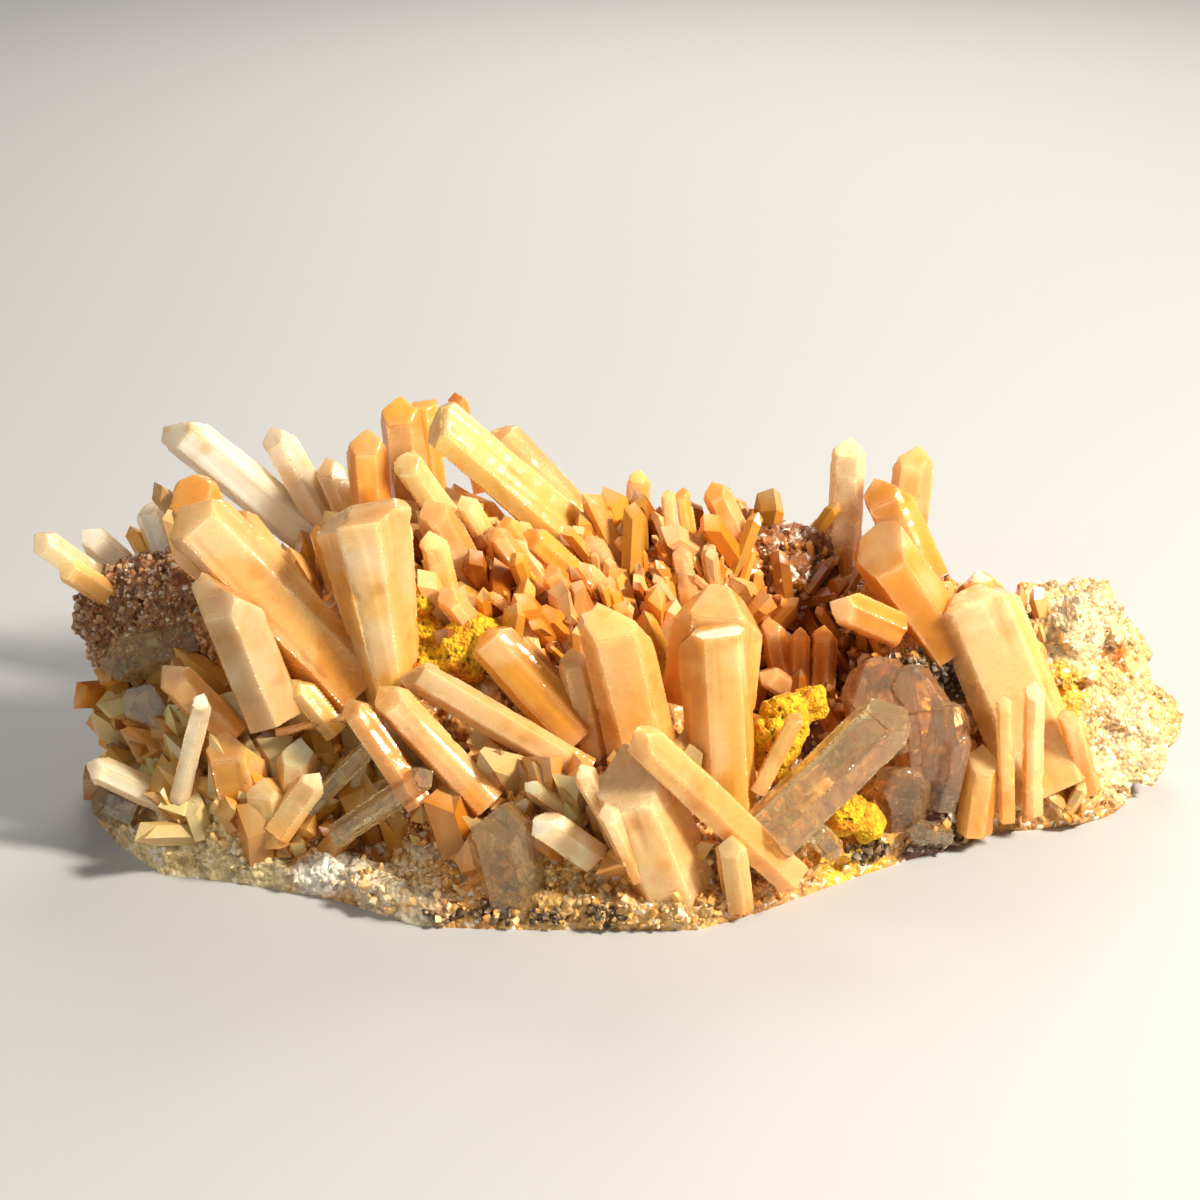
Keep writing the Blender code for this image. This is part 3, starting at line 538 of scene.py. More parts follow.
def face_net(corners, normal, axis, pace):
    """An even net of triangles over one flat face: its rim cut into equal steps that depend only on
    the rim's ends, and rows square to the crystal's axis inside it."""
    up = axis - normal * (axis @ normal)
    up = up / np.linalg.norm(up) if np.linalg.norm(up) > 0.05 else np.cross(
        normal, np.eye(3)[np.argmin(np.abs(normal))])
    up /= np.linalg.norm(up)
    right = np.cross(up, normal)
    middle = corners.mean(0)
    flat = np.column_stack([(corners - middle) @ right, (corners - middle) @ up])
    order = np.argsort(np.arctan2(flat[:, 1], flat[:, 0]))
    corners, flat = corners[order], flat[order]
    rim = []
    for a, b in zip(corners, np.roll(corners, -1, axis=0)):
        turned = tuple(np.round(a, 4)) > tuple(np.round(b, 4))
        first, last = (b, a) if turned else (a, b)
        count = max(1, round(np.linalg.norm(last - first) / pace))
        steps = np.arange(count + 1) / count
        line = first + (last - first) * steps[:, None]
        rim.append(line[::-1][:-1] if turned else line[:-1])
    rim = np.vstack(rim)
    low, high = flat.min(0), flat.max(0)
    rows = np.arange(low[1] + pace / 2, high[1], pace * 0.866)
    columns = np.arange(low[0], high[0] + pace, pace)
    grid_u = columns[None, :] + (np.arange(len(rows)) % 2)[:, None] * pace / 2
    grid = np.column_stack([grid_u.ravel(), np.repeat(rows, len(columns))])
    edge = np.roll(flat, -1, axis=0) - flat
    length = np.linalg.norm(edge, axis=1)
    keep = length > 1e-6
    inward = np.column_stack([-edge[:, 1], edge[:, 0]])[keep] / length[keep][:, None]
    gap = ((grid[:, None, :] - flat[keep][None]) * inward[None]).sum(2)
    grid = grid[(gap > pace * 0.45).all(1)]
    inside = middle + grid[:, :1] * right + grid[:, 1:] * up
    points = np.vstack([rim, inside])
    plane = np.column_stack([(points - middle) @ right, (points - middle) @ up])
    ring = [(i, (i + 1) % len(rim)) for i in range(len(rim))]
    made = geometry.delaunay_2d_cdt([Vector(p) for p in plane.tolist()], ring, [], 1, 1e-7)
    origin = np.array([ids[0] for ids in made[3]])
    return points[origin], np.array(made[2])


def growth_marks(points, gaps, on, far_along, normals, axis, seed):
    """How far each face stays behind at each point: slow waves, terraces that step across it, laths
    along the axis and bars square to it on prism sides, and chips along the edges. Returns that
    for each face, and how far each point is from an edge."""
    prism = np.abs(normals @ axis) < 0.3
    prism[-1] = False
    back = np.zeros(gaps.shape)
    others = np.where(on, 1e9, gaps)
    edge = others.min(1)
    edge[on.sum(1) > 1] = 0
    chip = smooth_share(value_noise(points / 2.3, seed + 5), 0.45, 0.9) * \
        smooth_share(1.3 - edge, 0, 1.3) * 0.5
    for number in range(gaps.shape[1]):
        mine = on[:, number]
        if not mine.any():
            continue
        spot = points[mine]
        wave = 0.10 * (1 + value_noise(spot / 6 + number, seed))
        stage = value_noise(spot / 5.5 + 3 * number, seed + 11) * 1.6 + 1.6
        terrace = 0.07 * (np.floor(stage) + smooth_share(stage % 1, 0.3, 1.0))
        bars = 0.0
        if prism[number]:
            wide = spot @ np.cross(axis, normals[number])
            lath = value_noise(np.column_stack([wide * 0.42, far_along[mine] * 0.02,
                                                np.full(len(spot), number * 5.7)]), seed + 7)
            terrace = terrace + 0.24 * smooth_share(lath, 0.0, 0.16)
            bar = value_noise(np.column_stack([far_along[mine] * 0.9, spot[:, 0] * 0.04,
                                               np.full(len(spot), number * 7.3)]), seed + 2)
            bars = 0.05 * smooth_share(bar, -0.2, 0.4)
        back[mine, number] = wave + terrace + bars + chip[mine]
    return back, edge


def crystal_body(row, pace, seed):
    """One crystal as (points, faces, tint, along): the net of each face, joined at the edges, moved
    inward by its growth marks, with colours that run from foot to tip."""
    places, normals, axis = crystal_sides(row)
    corners = convex_corners(places, normals)
    reach = (places * normals).sum(1)
    nets, start = [], 0
    for number in range(len(reach)):
        on_face = corners[np.abs(corners @ normals[number] - reach[number]) < 2e-3]
        if len(on_face) >= 3:
            spots, faces = face_net(on_face, normals[number], axis, pace)
            nets.append((spots, faces + start))
            start += len(spots)
    points = np.vstack([spots for spots, _ in nets])
    faces = np.vstack([net for _, net in nets])
    _, first, place = np.unique(np.round(points, 3), axis=0, return_index=True, return_inverse=True)
    points, faces = points[first], place.ravel()[faces]
    faces = faces[(faces[:, 0] != faces[:, 1]) & (faces[:, 1] != faces[:, 2]) &
                  (faces[:, 2] != faces[:, 0])]
    gaps = reach - points @ normals.T
    on = gaps < 3e-3
    length = np.linalg.norm(row["tip"] - row["foot"])
    far_along = (points - row["foot"]) @ axis
    back, edge = growth_marks(points, gaps, on, far_along, normals, axis, seed)
    back[:, -1] = 0
    share = np.clip(far_along / length, 0, 1)[:, None]
    tint = over(*row["colours"], share)
    side = value_noise(np.arange(len(reach))[:, None] * np.array([[1.7, 2.3, 3.1]]) + 0.5, seed)
    tint = tint * (1 + 0.3 * (on @ side) / np.maximum(on.sum(1), 1))[:, None]
    murk = smooth_share(layered_noise(points / 5 + seed, seed + 8, 3), 0.0, 0.9)[:, None]
    tint = tint * (1 - murk * (0.18, 0.3, 0.5))
    thread = smooth_share(value_noise(points / 3 @ (np.eye(3) - 0.9 * np.outer(axis, axis)) * 2.2,
                                      seed + 9), 0.35, 0.75)[:, None]
    tint = tint * (1 - thread * (0.08, 0.14, 0.24))
    cloud = 0.35 * smooth_share(layered_noise(points / 8 + seed, seed + 3, 2), 0.0, 0.9)[:, None]
    tint = over(tint, CREAM, cloud)
    stain = smooth_share(0.6 * layered_noise(points / 6 - seed, seed + 4, 2) + 0.9 -
                         2.2 * share[:, 0], 0.3, 1.2)[:, None] * row.get("stain", 0.35)
    tint = over(tint, ORANGE, stain)
    # Edges are lighter: partly frosted, worn edges, partly painted highlight where the edges would
    # catch the light.
    tint = over(tint, CREAM, (np.exp(-edge / 0.45) * 0.3)[:, None])
    return points - back @ normals, [tuple(f) for f in faces.tolist()], np.clip(tint, 0.01, 0.96), \
        far_along


def veil_group():
    """What lies in and on quartz: cloudy veils, frosted and clear patches, faint specks, fine bars
    square to the axis, and pits."""
    group, given, put = new_group("quartz_growth", {"Along": 0.0},
                                  {"Veil": "NodeSocketFloat", "Frost": "NodeSocketFloat",
                                   "Speck": "NodeSocketFloat", "Height": "NodeSocketFloat"})
    spot = wire(group, "ShaderNodeTexCoord").outputs["Object"]
    cloud = wire(group, "ShaderNodeTexNoise", {"Vector": spot, "Scale": 120.0, "Detail": 2.0,
                                               "Roughness": 0.5, "Distortion": 0.4})
    patch = wire(group, "ShaderNodeTexNoise", {"Vector": spot, "Scale": 520.0, "Detail": 1.0})
    bars = wire(group, "ShaderNodeTexNoise", {"W": given.outputs["Along"], "Scale": 3.4,
                                              "Detail": 1.0}, noise_dimensions="1D")
    pits = wire(group, "ShaderNodeTexVoronoi", {"Vector": spot, "Scale": 1500.0})
    pit = remap(group, pits.outputs["Distance"], 0.1, 0.35, -0.5, 0.0)
    skin = wire(group, "ShaderNodeTexNoise", {"Vector": spot, "Scale": 2600.0, "Detail": 1.0})
    for label, socket in (("Veil", remap(group, cloud.outputs["Fac"], 0.46, 0.72)),
                          ("Frost", remap(group, patch.outputs["Fac"], 0.36, 0.62)),
                          ("Speck", remap(group, skin.outputs["Fac"], 0.3, 0.7, 0.96, 1.04)),
                          ("Height", reckon(group, "ADD", bars.outputs["Fac"], pit))):
        group.links.new(socket, put.inputs[label])
    return group


quartz_growth = veil_group()


def quartz_finish(name, clear, rough, veil, veil_colour, glow, body=None, density=0, relief=0.22):
    """Quartz of one kind: clear is the share of light that goes through, rough the roughness of
    clear and of frosted patches, and glow the share of light that spreads inside. Clear kinds
    take their colour from body, deeper the more quartz the light crosses, and the others from
    the piece's own tint. Where the eye looks along a face it looks through more of the crystal,
    so the colour is deeper. The smallest crystals have no relief."""
    material, tree, shader = new_material(name)
    growth = wire(tree, "ShaderNodeGroup", node_tree=quartz_growth)
    amount = reckon(tree, "MULTIPLY", growth.outputs["Veil"], veil)
    colour = wire(tree, "ShaderNodeMix", {"Factor": amount, 7: (*veil_colour, 1)},
                  data_type="RGBA")
    if density:
        colour.inputs[6].default_value = (*(body * 0.6 + 0.4), 1)
        depth = wire(tree, "ShaderNodeVolumeAbsorption", {"Color": (*body, 1),
                                                          "Density": density})
        tree.links.new(depth.outputs[0], tree.nodes["Material Output"].inputs["Volume"])
    else:
        tint = wire(tree, "ShaderNodeAttribute", attribute_name="tint")
        along = wire(tree, "ShaderNodeAttribute", attribute_name="along")
        tree.links.new(tint.outputs["Color"], colour.inputs[6])
        tree.links.new(along.outputs["Fac"], growth.inputs["Along"])
    slant = wire(tree, "ShaderNodeLayerWeight", {"Blend": 0.5})
    thick = wire(tree, "ShaderNodeMix", {"Factor": slant.outputs["Facing"],
                                         6: (1, 1, 1, 1), 7: (0.98, 0.74, 0.46, 1)},
                 data_type="RGBA")
    deep = lit_by(tree, colour.outputs[2], thick.outputs[2])
    tree.links.new(lit_by(tree, deep, growth.outputs["Speck"]), shader.inputs["Base Color"])
    tree.links.new(remap(tree, growth.outputs["Frost"], 0, 1, *rough), shader.inputs["Roughness"])
    if relief:
        raise_relief(tree, shader, growth.outputs["Height"], relief, 0.00012)
    shader.inputs["IOR"].default_value = QUARTZ_IOR
    shader.inputs["Transmission Weight"].default_value = clear
    shader.subsurface_method = "BURLEY"
    shader.inputs["Subsurface Weight"].default_value = glow
    shader.inputs["Subsurface Radius"].default_value = (0.0045, 0.0034, 0.0022)
    shader.inputs["Subsurface Scale"].default_value = 1.0
    return material


QUARTZ = {
    "peach": quartz_finish("peach_quartz", 0.15, (0.1, 0.28), 0.2, BLUSH, 0.8),
    "amber": quartz_finish("amber_quartz", 0.2, (0.08, 0.26), 0.15, HONEY, 0.8),
    "lemon": quartz_finish("lemon_quartz", 0.2, (0.1, 0.26), 0.2, CREAM, 0.8),
    "milky": quartz_finish("milky_quartz", 0.15, (0.1, 0.26), 0.25, MILK, 0.8),
    "clear": quartz_finish("clear_quartz", 0.88, (0.03, 0.14), 0.4, CREAM, 0.0,
                           np.array((1.0, 0.84, 0.36)), 45),
    "smoky": quartz_finish("smoky_quartz", 0.88, (0.03, 0.16), 0.25, TAN, 0.0,
                           np.array((1.0, 0.68, 0.24)), 60),
}
grown = []


def crystal(foot, tip, width, finish, base, top, **more):
    """The row of one crystal: the middle of its foot, its tip, its width, its kind of quartz, its
    colours at foot and tip, and whatever sets it apart."""
    return {"foot": np.array(foot, float), "tip": np.array(tip, float), "width": width,
            "finish": finish, "colours": (base, top), **more}


def stand(node, seed, crystals):
    """Settles each listed crystal of a node, named for itself. Its faces are kept for the druse."""
    for number, (name, row) in enumerate(crystals.items()):
        pace = FINE_PACE if row["width"] < SLIM else COARSE_PACE
        points, faces, tint, along = crystal_body(row, pace, seed + 17 * number)
        grown.append((*crystal_sides(row), row["foot"], row["tip"]))
        settle(name, points, faces, QUARTZ[row["finish"]], node,
               tint=tint, along=along, crease=CRYSTAL_CREASE)


def lone(node, seed, *row, **more):
    """Settles the only crystal of a node."""
    stand(node, seed, {node + "_crystal": crystal(*row, **more)})


stand("front_group", 100, {
    "front_pink": crystal((13.5, -38, 2), (3, -41, 33), 17, "peach", PEACH, BLUSH, flat=0.8,
        roll=8, sides=(1, 1, 1, 1, 0.8, 0.8)),
    "diagonal_spar": crystal((31, -38, 6), (4.5, -44, 36.5), 7.6, "peach", APRICOT, PEACH,
        roll=30),
    "cream_rider_upper": crystal((2, -41, 18), (-3.5, -43.5, 30.5), 4.6, "peach", PEACH, CREAM),
    "cream_rider_lower": crystal((6, -43, 9.5), (0.5, -46.5, 25), 4.6, "lemon", APRICOT, CREAM,
        roll=10),
    "clear_spar": crystal((26.5, -38, 13.5), (50, -24, 31), 10, "clear", GLASS, GLASS, roll=20,
        stain=0.2),
    "olive_spar": crystal((25.5, -32.5, 18.5), (32.5, -27, 31), 3.6, "lemon", OLIVE, OLIVE,
        roll=20),
    "lemon_post": crystal((22.5, -40, 2), (20.5, -44, 18), 6, "lemon", HONEY, LEMON, roll=20),
})


# Middle of the front
# The tall peach crystal with its twin and the two spars that leave its foot, the amber crystal and
# its hood, the clear block of the front edge with a white chip grown on it, and four slim bars.
stand("peach_group", 200, {
    "front_peach": crystal((7, -28.5, 17), (-0.5, -22, 49), 12.6, "peach", APRICOT, PEACH,
        sides=(0.9, 0.75, 0.75, 1, 1.2, 1.2)),
    "side_peach": crystal((-0.5, -27, 19), (-5, -21, 40), 6.2, "peach", APRICOT, PEACH, roll=10),
    "orange_wedge": crystal((-3, -26, 25), (-19, -19, 41), 9, "amber", ORANGE, HONEY, flat=0.8,
        roll=10, ends=((0, 60, 0), (80, 60, 1), (-80, 50, 1), (180, 60, 1))),
    "long_grey": crystal((-2, -31, 21), (-31, -24, 36.5), 6.4, "lemon", APRICOT, GREY,
        ends=((0, 50, 0), (-80, 60, 0), (80, 40, 3), (180, 50, 2))),
})
stand("amber_twin", 300, {
    "front_amber": crystal((20, -31, 13), (18, -20, 43), 12, "amber", HONEY, TAN, roll=-8,
        ends=((0, 70, 0), (90, 48, 2), (-90, 55, 3), (180, 60, 1))),
    "amber_hood": crystal((17.5, -20, 28), (19.5, -13, 46.5), 16, "amber", ORANGE, TAN, flat=0.7,
        ends=((0, 48, 0), (75, 42, 2), (-75, 42, 2), (180, 50, 1))),
})
stand("glass_pair", 320, {
    "glass_block": crystal((-13, -39, 2), (-16, -44, 24), 13.5, "clear", GLASS, GLASS, flat=0.8,
        roll=15, sides=(1, 1, 1, 1, 0.85, 0.85), stain=0.3),
    "lemon_chip": crystal((-1, -40, 11), (-10.5, -45, 21.5), 6, "milky", CREAM, MILK, roll=20),
})
stand("peach_bars", 340, {
    "peach_pair_left": crystal((-29, -33, 17), (-40.5, -28, 34), 6, "peach", ORANGE, PEACH,
        roll=25),
    "peach_pair_right": crystal((-18, -33, 16.5), (-36, -26, 35), 7.4, "peach", ORANGE, PEACH,
        roll=10),
    "clear_bar_upper": crystal((-48, -29, 14), (-36.5, -29, 26), 4.6, "clear", HONEY, GLASS,
        roll=15),
    "clear_bar_lower": crystal((-43, -33, 11), (-26.5, -35, 24.5), 5, "clear", GLASS, GLASS),
})


# Left fan
# The big smoky beige crystal, the peach slab beside it, the grey spar and what stands at the left
# end: they lean out to the left, the front ones most.
stand("left_fan", 400, {
    "smoky_giant": crystal((-33.5, -20, 27), (-39, -12, 61), 9.5, "milky", OLIVE, SAND, taper=1.95,
        ends=((0, 78, -0.5), (75, 60, 0.5), (-80, 48, 5), (180, 55, 1)), stain=0.1),
    "peach_slab": crystal((-40, -18, 29), (-69.5, -10, 60), 14, "peach", APRICOT, TAN, flat=0.7,
        slope=42),
    "stained_sliver": crystal((-44, -13, 37), (-60, -7, 58), 5, "amber", OLIVE, SAND),
    "grey_spar": crystal((-55.5, -22, 26), (-64.5, -18, 51.5), 12, "milky", SAND, SAND, roll=22,
        sides=(1, 0.5, 0.5, 1, 1.4, 1.4), stain=0.2),
    "lemon_small": crystal((-43, -24, 25), (-50.5, -22, 34.5), 5.4, "lemon", HONEY, LEMON,
        roll=30),
})
lone("cream_finger", 430, (-69.5, -25, 13), (-64, -24, 33), 4, "milky", CREAM, MILK, roll=10,
    stain=0.2)
lone("cream_point", 440, (-68, -22, 9), (-85.5, -21, 18), 5.4, "milky", CREAM, MILK, stain=0.2)
lone("orange_blunt", 450, (-62.5, 3, 37), (-71, 8, 58.5), 11, "amber", ORANGE, APRICOT,
    ends=((0, 50, -3), (80, 42, 0), (-80, 50, 0), (180, 40, 1)))
stand("milky_pair", 460, {
    "milky_blade": crystal((-47, 24, 33), (-79, 34, 56.5), 9, "milky", MILK, MILK, roll=10,
        sides=(1, 0.6, 0.6, 1, 1.4, 1.4), stain=0.0),
    "grey_shard": crystal((-46, 23, 36), (-59, 34, 57), 7, "milky", TAN, MILK, roll=20, stain=0.2),
})
lone("white_block", 470, (-73, 10, 35), (-78.5, 16, 49), 7, "milky", MILK, MILK, roll=10,
    ends=((0, 60, 0), (80, 50, 1), (-80, 50, 2), (180, 60, 1)), stain=0.0)
lone("amber_shelf", 480, (-80, 5, 33), (-91.5, -2, 46), 5.6, "amber", ORANGE, LEMON)
stand("far_left_pair", 490, {
    "far_left": crystal((-80, 11, 31), (-97, 6, 48), 6, "milky", TAN, CREAM, roll=20),
    "far_left_behind": crystal((-77, 15, 31), (-90, 14, 45), 6, "milky", MILK, MILK),
})


# Back ridge
# The crystals along the top at the back: orange points at the left, the long pale lemon one and its
# tan neighbours, and three that stand by themselves towards the right.
lone("lemon_giant", 500, (1, 17, 37), (-28, 14, 65.5), 9.2, "lemon", HONEY, LEMON, roll=30,
    ends=((80, 62, 0), (-100, 60, 2), (0, 50, 2), (180, 50, 2)))
stand("tan_pair", 510, {
    "tan_lemon": crystal((-20, 7, 41), (-33, 6, 62), 6.4, "lemon", HONEY, LEMON, roll=20,
        ends=((0, 50, 0), (-80, 60, 0.5), (80, 42, 2), (180, 50, 1))),
    "orange_tan": crystal((-21, -2, 41), (-29.5, 2, 56), 7.2, "amber", ORANGE, TAN),
})
lone("orange_pointer", 530, (-39, 13, 40), (-40.5, 20, 62), 7.4, "amber", ORANGE, APRICOT)
stand("amber_back_pair", 540, {
    "amber_back": crystal((-33, 23, 42), (-35.5, 30, 64), 8, "amber", ORANGE, HONEY, roll=10),
    "amber_back_small": crystal((-29, 25, 43), (-31, 31, 62.5), 6, "amber", ORANGE, HONEY, roll=20,
        ends=((0, 70, 0), (90, 50, 2), (-90, 60, 2), (180, 60, 1))),
})
lone("flat_orange", 560, (-21, 28, 46), (-26, 34, 63.5), 5, "amber", ORANGE, ORANGE, roll=20)
lone("tan_behind", 570, (0, 25, 38), (-18.5, 30, 57.5), 8, "lemon", HONEY, TAN,
    ends=((0, 60, 0), (80, 55, 1), (-80, 60, 0), (180, 60, 1)))
lone("thimble", 580, (6.3, 18, 38), (6.7, 24, 52.7), 5.4, "peach", ORANGE, PEACH, roll=15)
lone("orange_lean", 590, (27, 14, 37), (19.3, 20, 51.8), 5.6, "amber", ORANGE, APRICOT, roll=10)
lone("tower", 600, (43, 20, 28), (44.2, 28, 57.3), 6.4, "peach", ORANGE, CREAM, roll=12)


# Right half
# The orange block with its dome and neighbours, the pale giant of the right end with the needles on
# its side, and the clear smoky lumps in front of the hollow.
stand("right_group", 700, {
    "right_giant": crystal((77, -11, 7), (62, 0, 40), 15, "peach", PEACH, BLUSH, flat=0.75,
        sides=(0.8, 1, 1, 1, 1.15, 1.1),
        ends=((85, 62, 1), (-85, 52, 2), (0, 62, 0), (180, 50, 1))),
    "right_cap": crystal((68.5, 1, 28), (65.5, 8, 39.6), 7.4, "amber", ORANGE, HONEY,
        ends=((0, 60, 0), (80, 50, 1), (-80, 42, 1), (180, 60, 1))),
    "right_fin": crystal((84, -9, 6), (78, -13, 24.5), 5.2, "peach", ORANGE, PEACH, roll=10),
    "right_needle_right": crystal((73.5, -15, 5), (71.5, -17.5, 32), 4.4, "peach", PEACH, CREAM,
        roll=20),
    "orange_block": crystal((60.5, -1, 28), (45, 8, 48), 12.6, "amber", ORANGE, APRICOT, roll=15,
        ends=((10, 40, -2), (80, 48, 0), (-80, 60, 1), (180, 50, 0))),
    "orange_dome": crystal((56, 7, 38), (47.5, 14, 55.5), 8.7, "amber", ORANGE, APRICOT, roll=25),
    "grey_orange": crystal((53.5, 15, 39), (56, 22, 58), 8.2, "amber", ORANGE, TAN, roll=10,
        sides=(1, 1.2, 1.2, 1, 0.8, 0.8)),
    "orange_left": crystal((51, -3, 33.5), (38, -5, 40.5), 7, "amber", ORANGE, APRICOT, roll=15),
})
lone("right_needle_left", 780, (69, -18, 5), (66.5, -19, 30), 3.4, "lemon", HONEY, LEMON, roll=10)
stand("smoky_cluster", 800, {
    "smoky_core": crystal((48, -15, 17), (45, -10, 33), 13, "smoky", SMOKE, TAN, roll=20,
        ends=((0, 35, -3), (70, 40, -1), (-60, 50, 0), (180, 55, 0))),
    "smoky_right": crystal((55, -16, 13), (53, -12, 33), 11, "smoky", SMOKE, TAN,
        ends=((0, 40, -3), (70, 50, 0), (-70, 40, -2), (180, 55, 0))),
    "smoky_edge": crystal((56.5, -18, 8), (60, -14, 26.5), 9, "smoky", SMOKE, SMOKE, roll=25,
        ends=((0, 40, -2), (70, 50, 0), (-70, 35, -1), (180, 55, 0))),
    "smoky_low": crystal((51, -19, 7), (50, -21, 17), 10, "smoky", TAN, SMOKE, roll=10,
        ends=((0, 45, -1), (70, 50, 0), (-60, 50, 0), (180, 60, 0))),
})


# Offshoots of the matrix
# Smaller crystals that the rock itself has put out: the tangle between the fan and the front row,
# the upright ones in the hollow, and the pale chunks at the left.
OFFSHOOT_PACE = 0.42


def offshoots(piece, finish, rows, seed):
    """Small crystals of one finish, settled as one piece that belongs to the rock."""
    bodies = []
    for number, (foot, tip, width, roll, colours) in enumerate(rows):
        row = crystal(foot, tip, width, finish, *colours, roll=roll)
        bodies.append(crystal_body(row, OFFSHOOT_PACE, seed + 7 * number))
    points, faces = gather([body[:2] for body in bodies])
    settle(piece, points, faces, QUARTZ[finish], "matrix",
           tint=np.vstack([body[2] for body in bodies]),
           along=np.concatenate([body[3] for body in bodies]), crease=CRYSTAL_CREASE)


# Rust-brown feet are partly painted shade where these crystals meet the rock in the tangle and the
# hollow.
offshoots("orange_tangle", "amber", (
    ((-44, 24, 42), (-49, 30, 52.5), 6, 30, (TAN, CREAM)),
    ((-19, -15, 37), (-26.5, -14, 47), 5.3, 0, (ORANGE, PEACH)),
    ((-10, -2, 40), (-19, 2, 51), 4.8, 0, (ORANGE, APRICOT)),
    ((-8, 0, 39.5), (-16.5, 6, 51.5), 3.8, 10, (ORANGE, APRICOT)),
    ((-1, 2, 39), (-13, 4, 50), 5.5, 20, (ORANGE, HONEY)),
    ((-1.5, -8, 34), (-9, -6, 47.5), 4.7, 0, (ORANGE, APRICOT)),
    ((-0.5, -6, 35), (-5.5, -4, 46), 3.7, 10, (RUST_AND_SHADE, APRICOT)),
    ((2.5, 2, 36), (-3.5, 2, 44.5), 4.1, 20, (ORANGE, BLUSH)),
    ((2, 8, 39), (-2.5, 10, 46.5), 4.8, 0, (ORANGE, APRICOT)),
    ((-11, -10, 37.5), (-19, -8, 43.5), 2.7, 0, (ORANGE, HONEY)),
    ((-11, -14, 34.5), (-12, -10, 42), 3, 0, (ORANGE, HONEY)),
    ((5, 16, 38), (2, 20, 49), 4.2, 0, (ORANGE, CREAM)),
    ((12.6, 14, 40), (11.7, 18, 51.3), 3.4, 0, (ORANGE, APRICOT)),
    ((16, 14, 40.5), (14.3, 19, 51.3), 3.6, 15, (ORANGE, APRICOT)),
    ((15.5, 4, 34), (13.6, 8, 45), 5, 20, (ORANGE, APRICOT)),
    ((20, 6, 36.7), (18.4, 10, 44.8), 3.8, 0, (ORANGE, BLUSH)),
    ((35, 0, 19), (27, -5, 27), 5, 0, (RUST_AND_SHADE, BLUSH)),
    ((32, 1, 19), (29, 3, 34), 5, 10, (RUST_AND_SHADE, ORANGE)),
    ((34.6, 0, 18), (34.3, 2, 32.5), 4, 0, (RUST_AND_SHADE, ORANGE)),
    ((38.4, 0, 18), (39, 3, 32.5), 5.5, 20, (RUST_AND_SHADE, ORANGE)),
    ((-58, -25, 8), (-61, -23, 26), 10, 10, (ORANGE, HONEY)),
    ((-54, -28, 7), (-55, -28, 20), 7.5, 20, (HONEY, LEMON)),
    ((-53, -25, 25.5), (-39.5, -24, 28.5), 2.4, 0, (RUST_AND_SHADE, HONEY)),
    ((-60, -21, 23), (-71.5, -19, 35.5), 7.1, 10, (ORANGE, TAN)),
    ((63, -18, 3), (64.5, -16, 19.5), 7.5, 0, (HONEY, PEACH)),
), 900)
offshoots("pale_offshoots", "lemon", (
    ((-17, 5, 43), (-23.5, 2, 57), 4.5, 0, (HONEY, LEMON)),
    ((-25, -9, 40), (-28, -8, 55), 6, 0, (HONEY, LEMON)),
    ((-50, -26, 12), (-49, -24, 25), 8, 0, (HONEY, CREAM)),
    ((-53, -30.2, 10), (-45.2, -30.1, 21.6), 5.6, 0, (HONEY, CREAM)),
    ((-2.5, -36, 15), (-12.5, -36, 23), 4.4, 0, (HONEY, CREAM)),
), 950)
offshoots("ice_offshoots", "clear", (
    ((-68, -7, 34), (-84, -12, 30.5), 9, 0, (GLASS, MILK)),
    ((-68, -12, 18), (-80, -14, 28.5), 11, 0, (TAN, GLASS)),
    ((-71, -16, 15), (-77.5, -14, 20), 4, 0, (GLASS, GLASS)),
    ((-75, -15, 11), (-84, -12, 16.5), 6, 0, (GLASS, GLASS)),
    ((-78, -15, 5), (-87.5, -12, 8), 8, 0, (GLASS, GLASS)),
    ((38.5, -31, 7), (33.5, -33, 13), 4.5, 0, (GLASS, GLASS)),
    ((58, -20, 3), (50.5, -25, 7.5), 5, 0, (SMOKE, TAN)),
), 970)


# Druse
# Thousands of small points and blocks of quartz that coat the rock between the crystals, and dark
# flakes of manganese ore. They all grew out of its surface, so they sit on it and lean as the large
# crystals do.

# How near the table they come, how far inside the solid's box they stay, and the points of each:
# two rings and a tip.
LOWEST, INSET = 0.4, 0.8
RING = 6
TIP = 2 * RING
EACH = TIP + 1


def sprout(spots, ways, lengths, widths, broken, chance):
    """Small six-sided points: a ring below the rock, a ring at the shoulder whose corners lie
    higher or lower the more broken they are, and a tip, turned to each way."""
    count = len(spots)
    side = np.cross(ways, chance.normal(size=(count, 3)))
    side /= np.linalg.norm(side, axis=1)[:, None]
    other = np.cross(ways, side)
    turn = (np.arange(RING) * np.pi / 3)[None, :, None]
    ring = side[:, None] * np.cos(turn) + other[:, None] * np.sin(turn)
    ring = ring * (widths / 2)[:, None, None] * chance.uniform(0.75, 1.25, (count, RING, 1))
    shoulder = (lengths - 0.62 * widths)[:, None] + widths[:, None] * chance.uniform(
        -broken, broken, (count, RING)) + widths[:, None] * np.array((-0.14, 0.2) * 3)
    low = spots[:, None] + ring - ways[:, None] * (0.35 * lengths)[:, None, None]
    high = spots[:, None] + ring + ways[:, None] * np.maximum(
        shoulder, 0.1 * lengths[:, None])[:, :, None]
    lean = (side * chance.uniform(-broken, broken, (count, 1)) + other *
            chance.uniform(-broken, broken, (count, 1))) * widths[:, None]
    tip = (spots + ways * lengths[:, None] + lean)[:, None]
    points = np.concatenate([low, high, tip], axis=1).reshape(-1, 3)
    here = np.arange(RING)
    after = (here + 1) % RING
    sides = np.column_stack([here, after, after + RING, here + RING])
    slopes = np.column_stack([here + RING, after + RING, np.full(RING, TIP)])
    start = (np.arange(count) * EACH)[:, None, None]
    faces = (sides[None] + start).reshape(-1, 4).tolist()
    faces += (slopes[None] + start).reshape(-1, 3).tolist()
    faces += (here[None, ::-1] + start[:, 0]).tolist()
    return points, faces


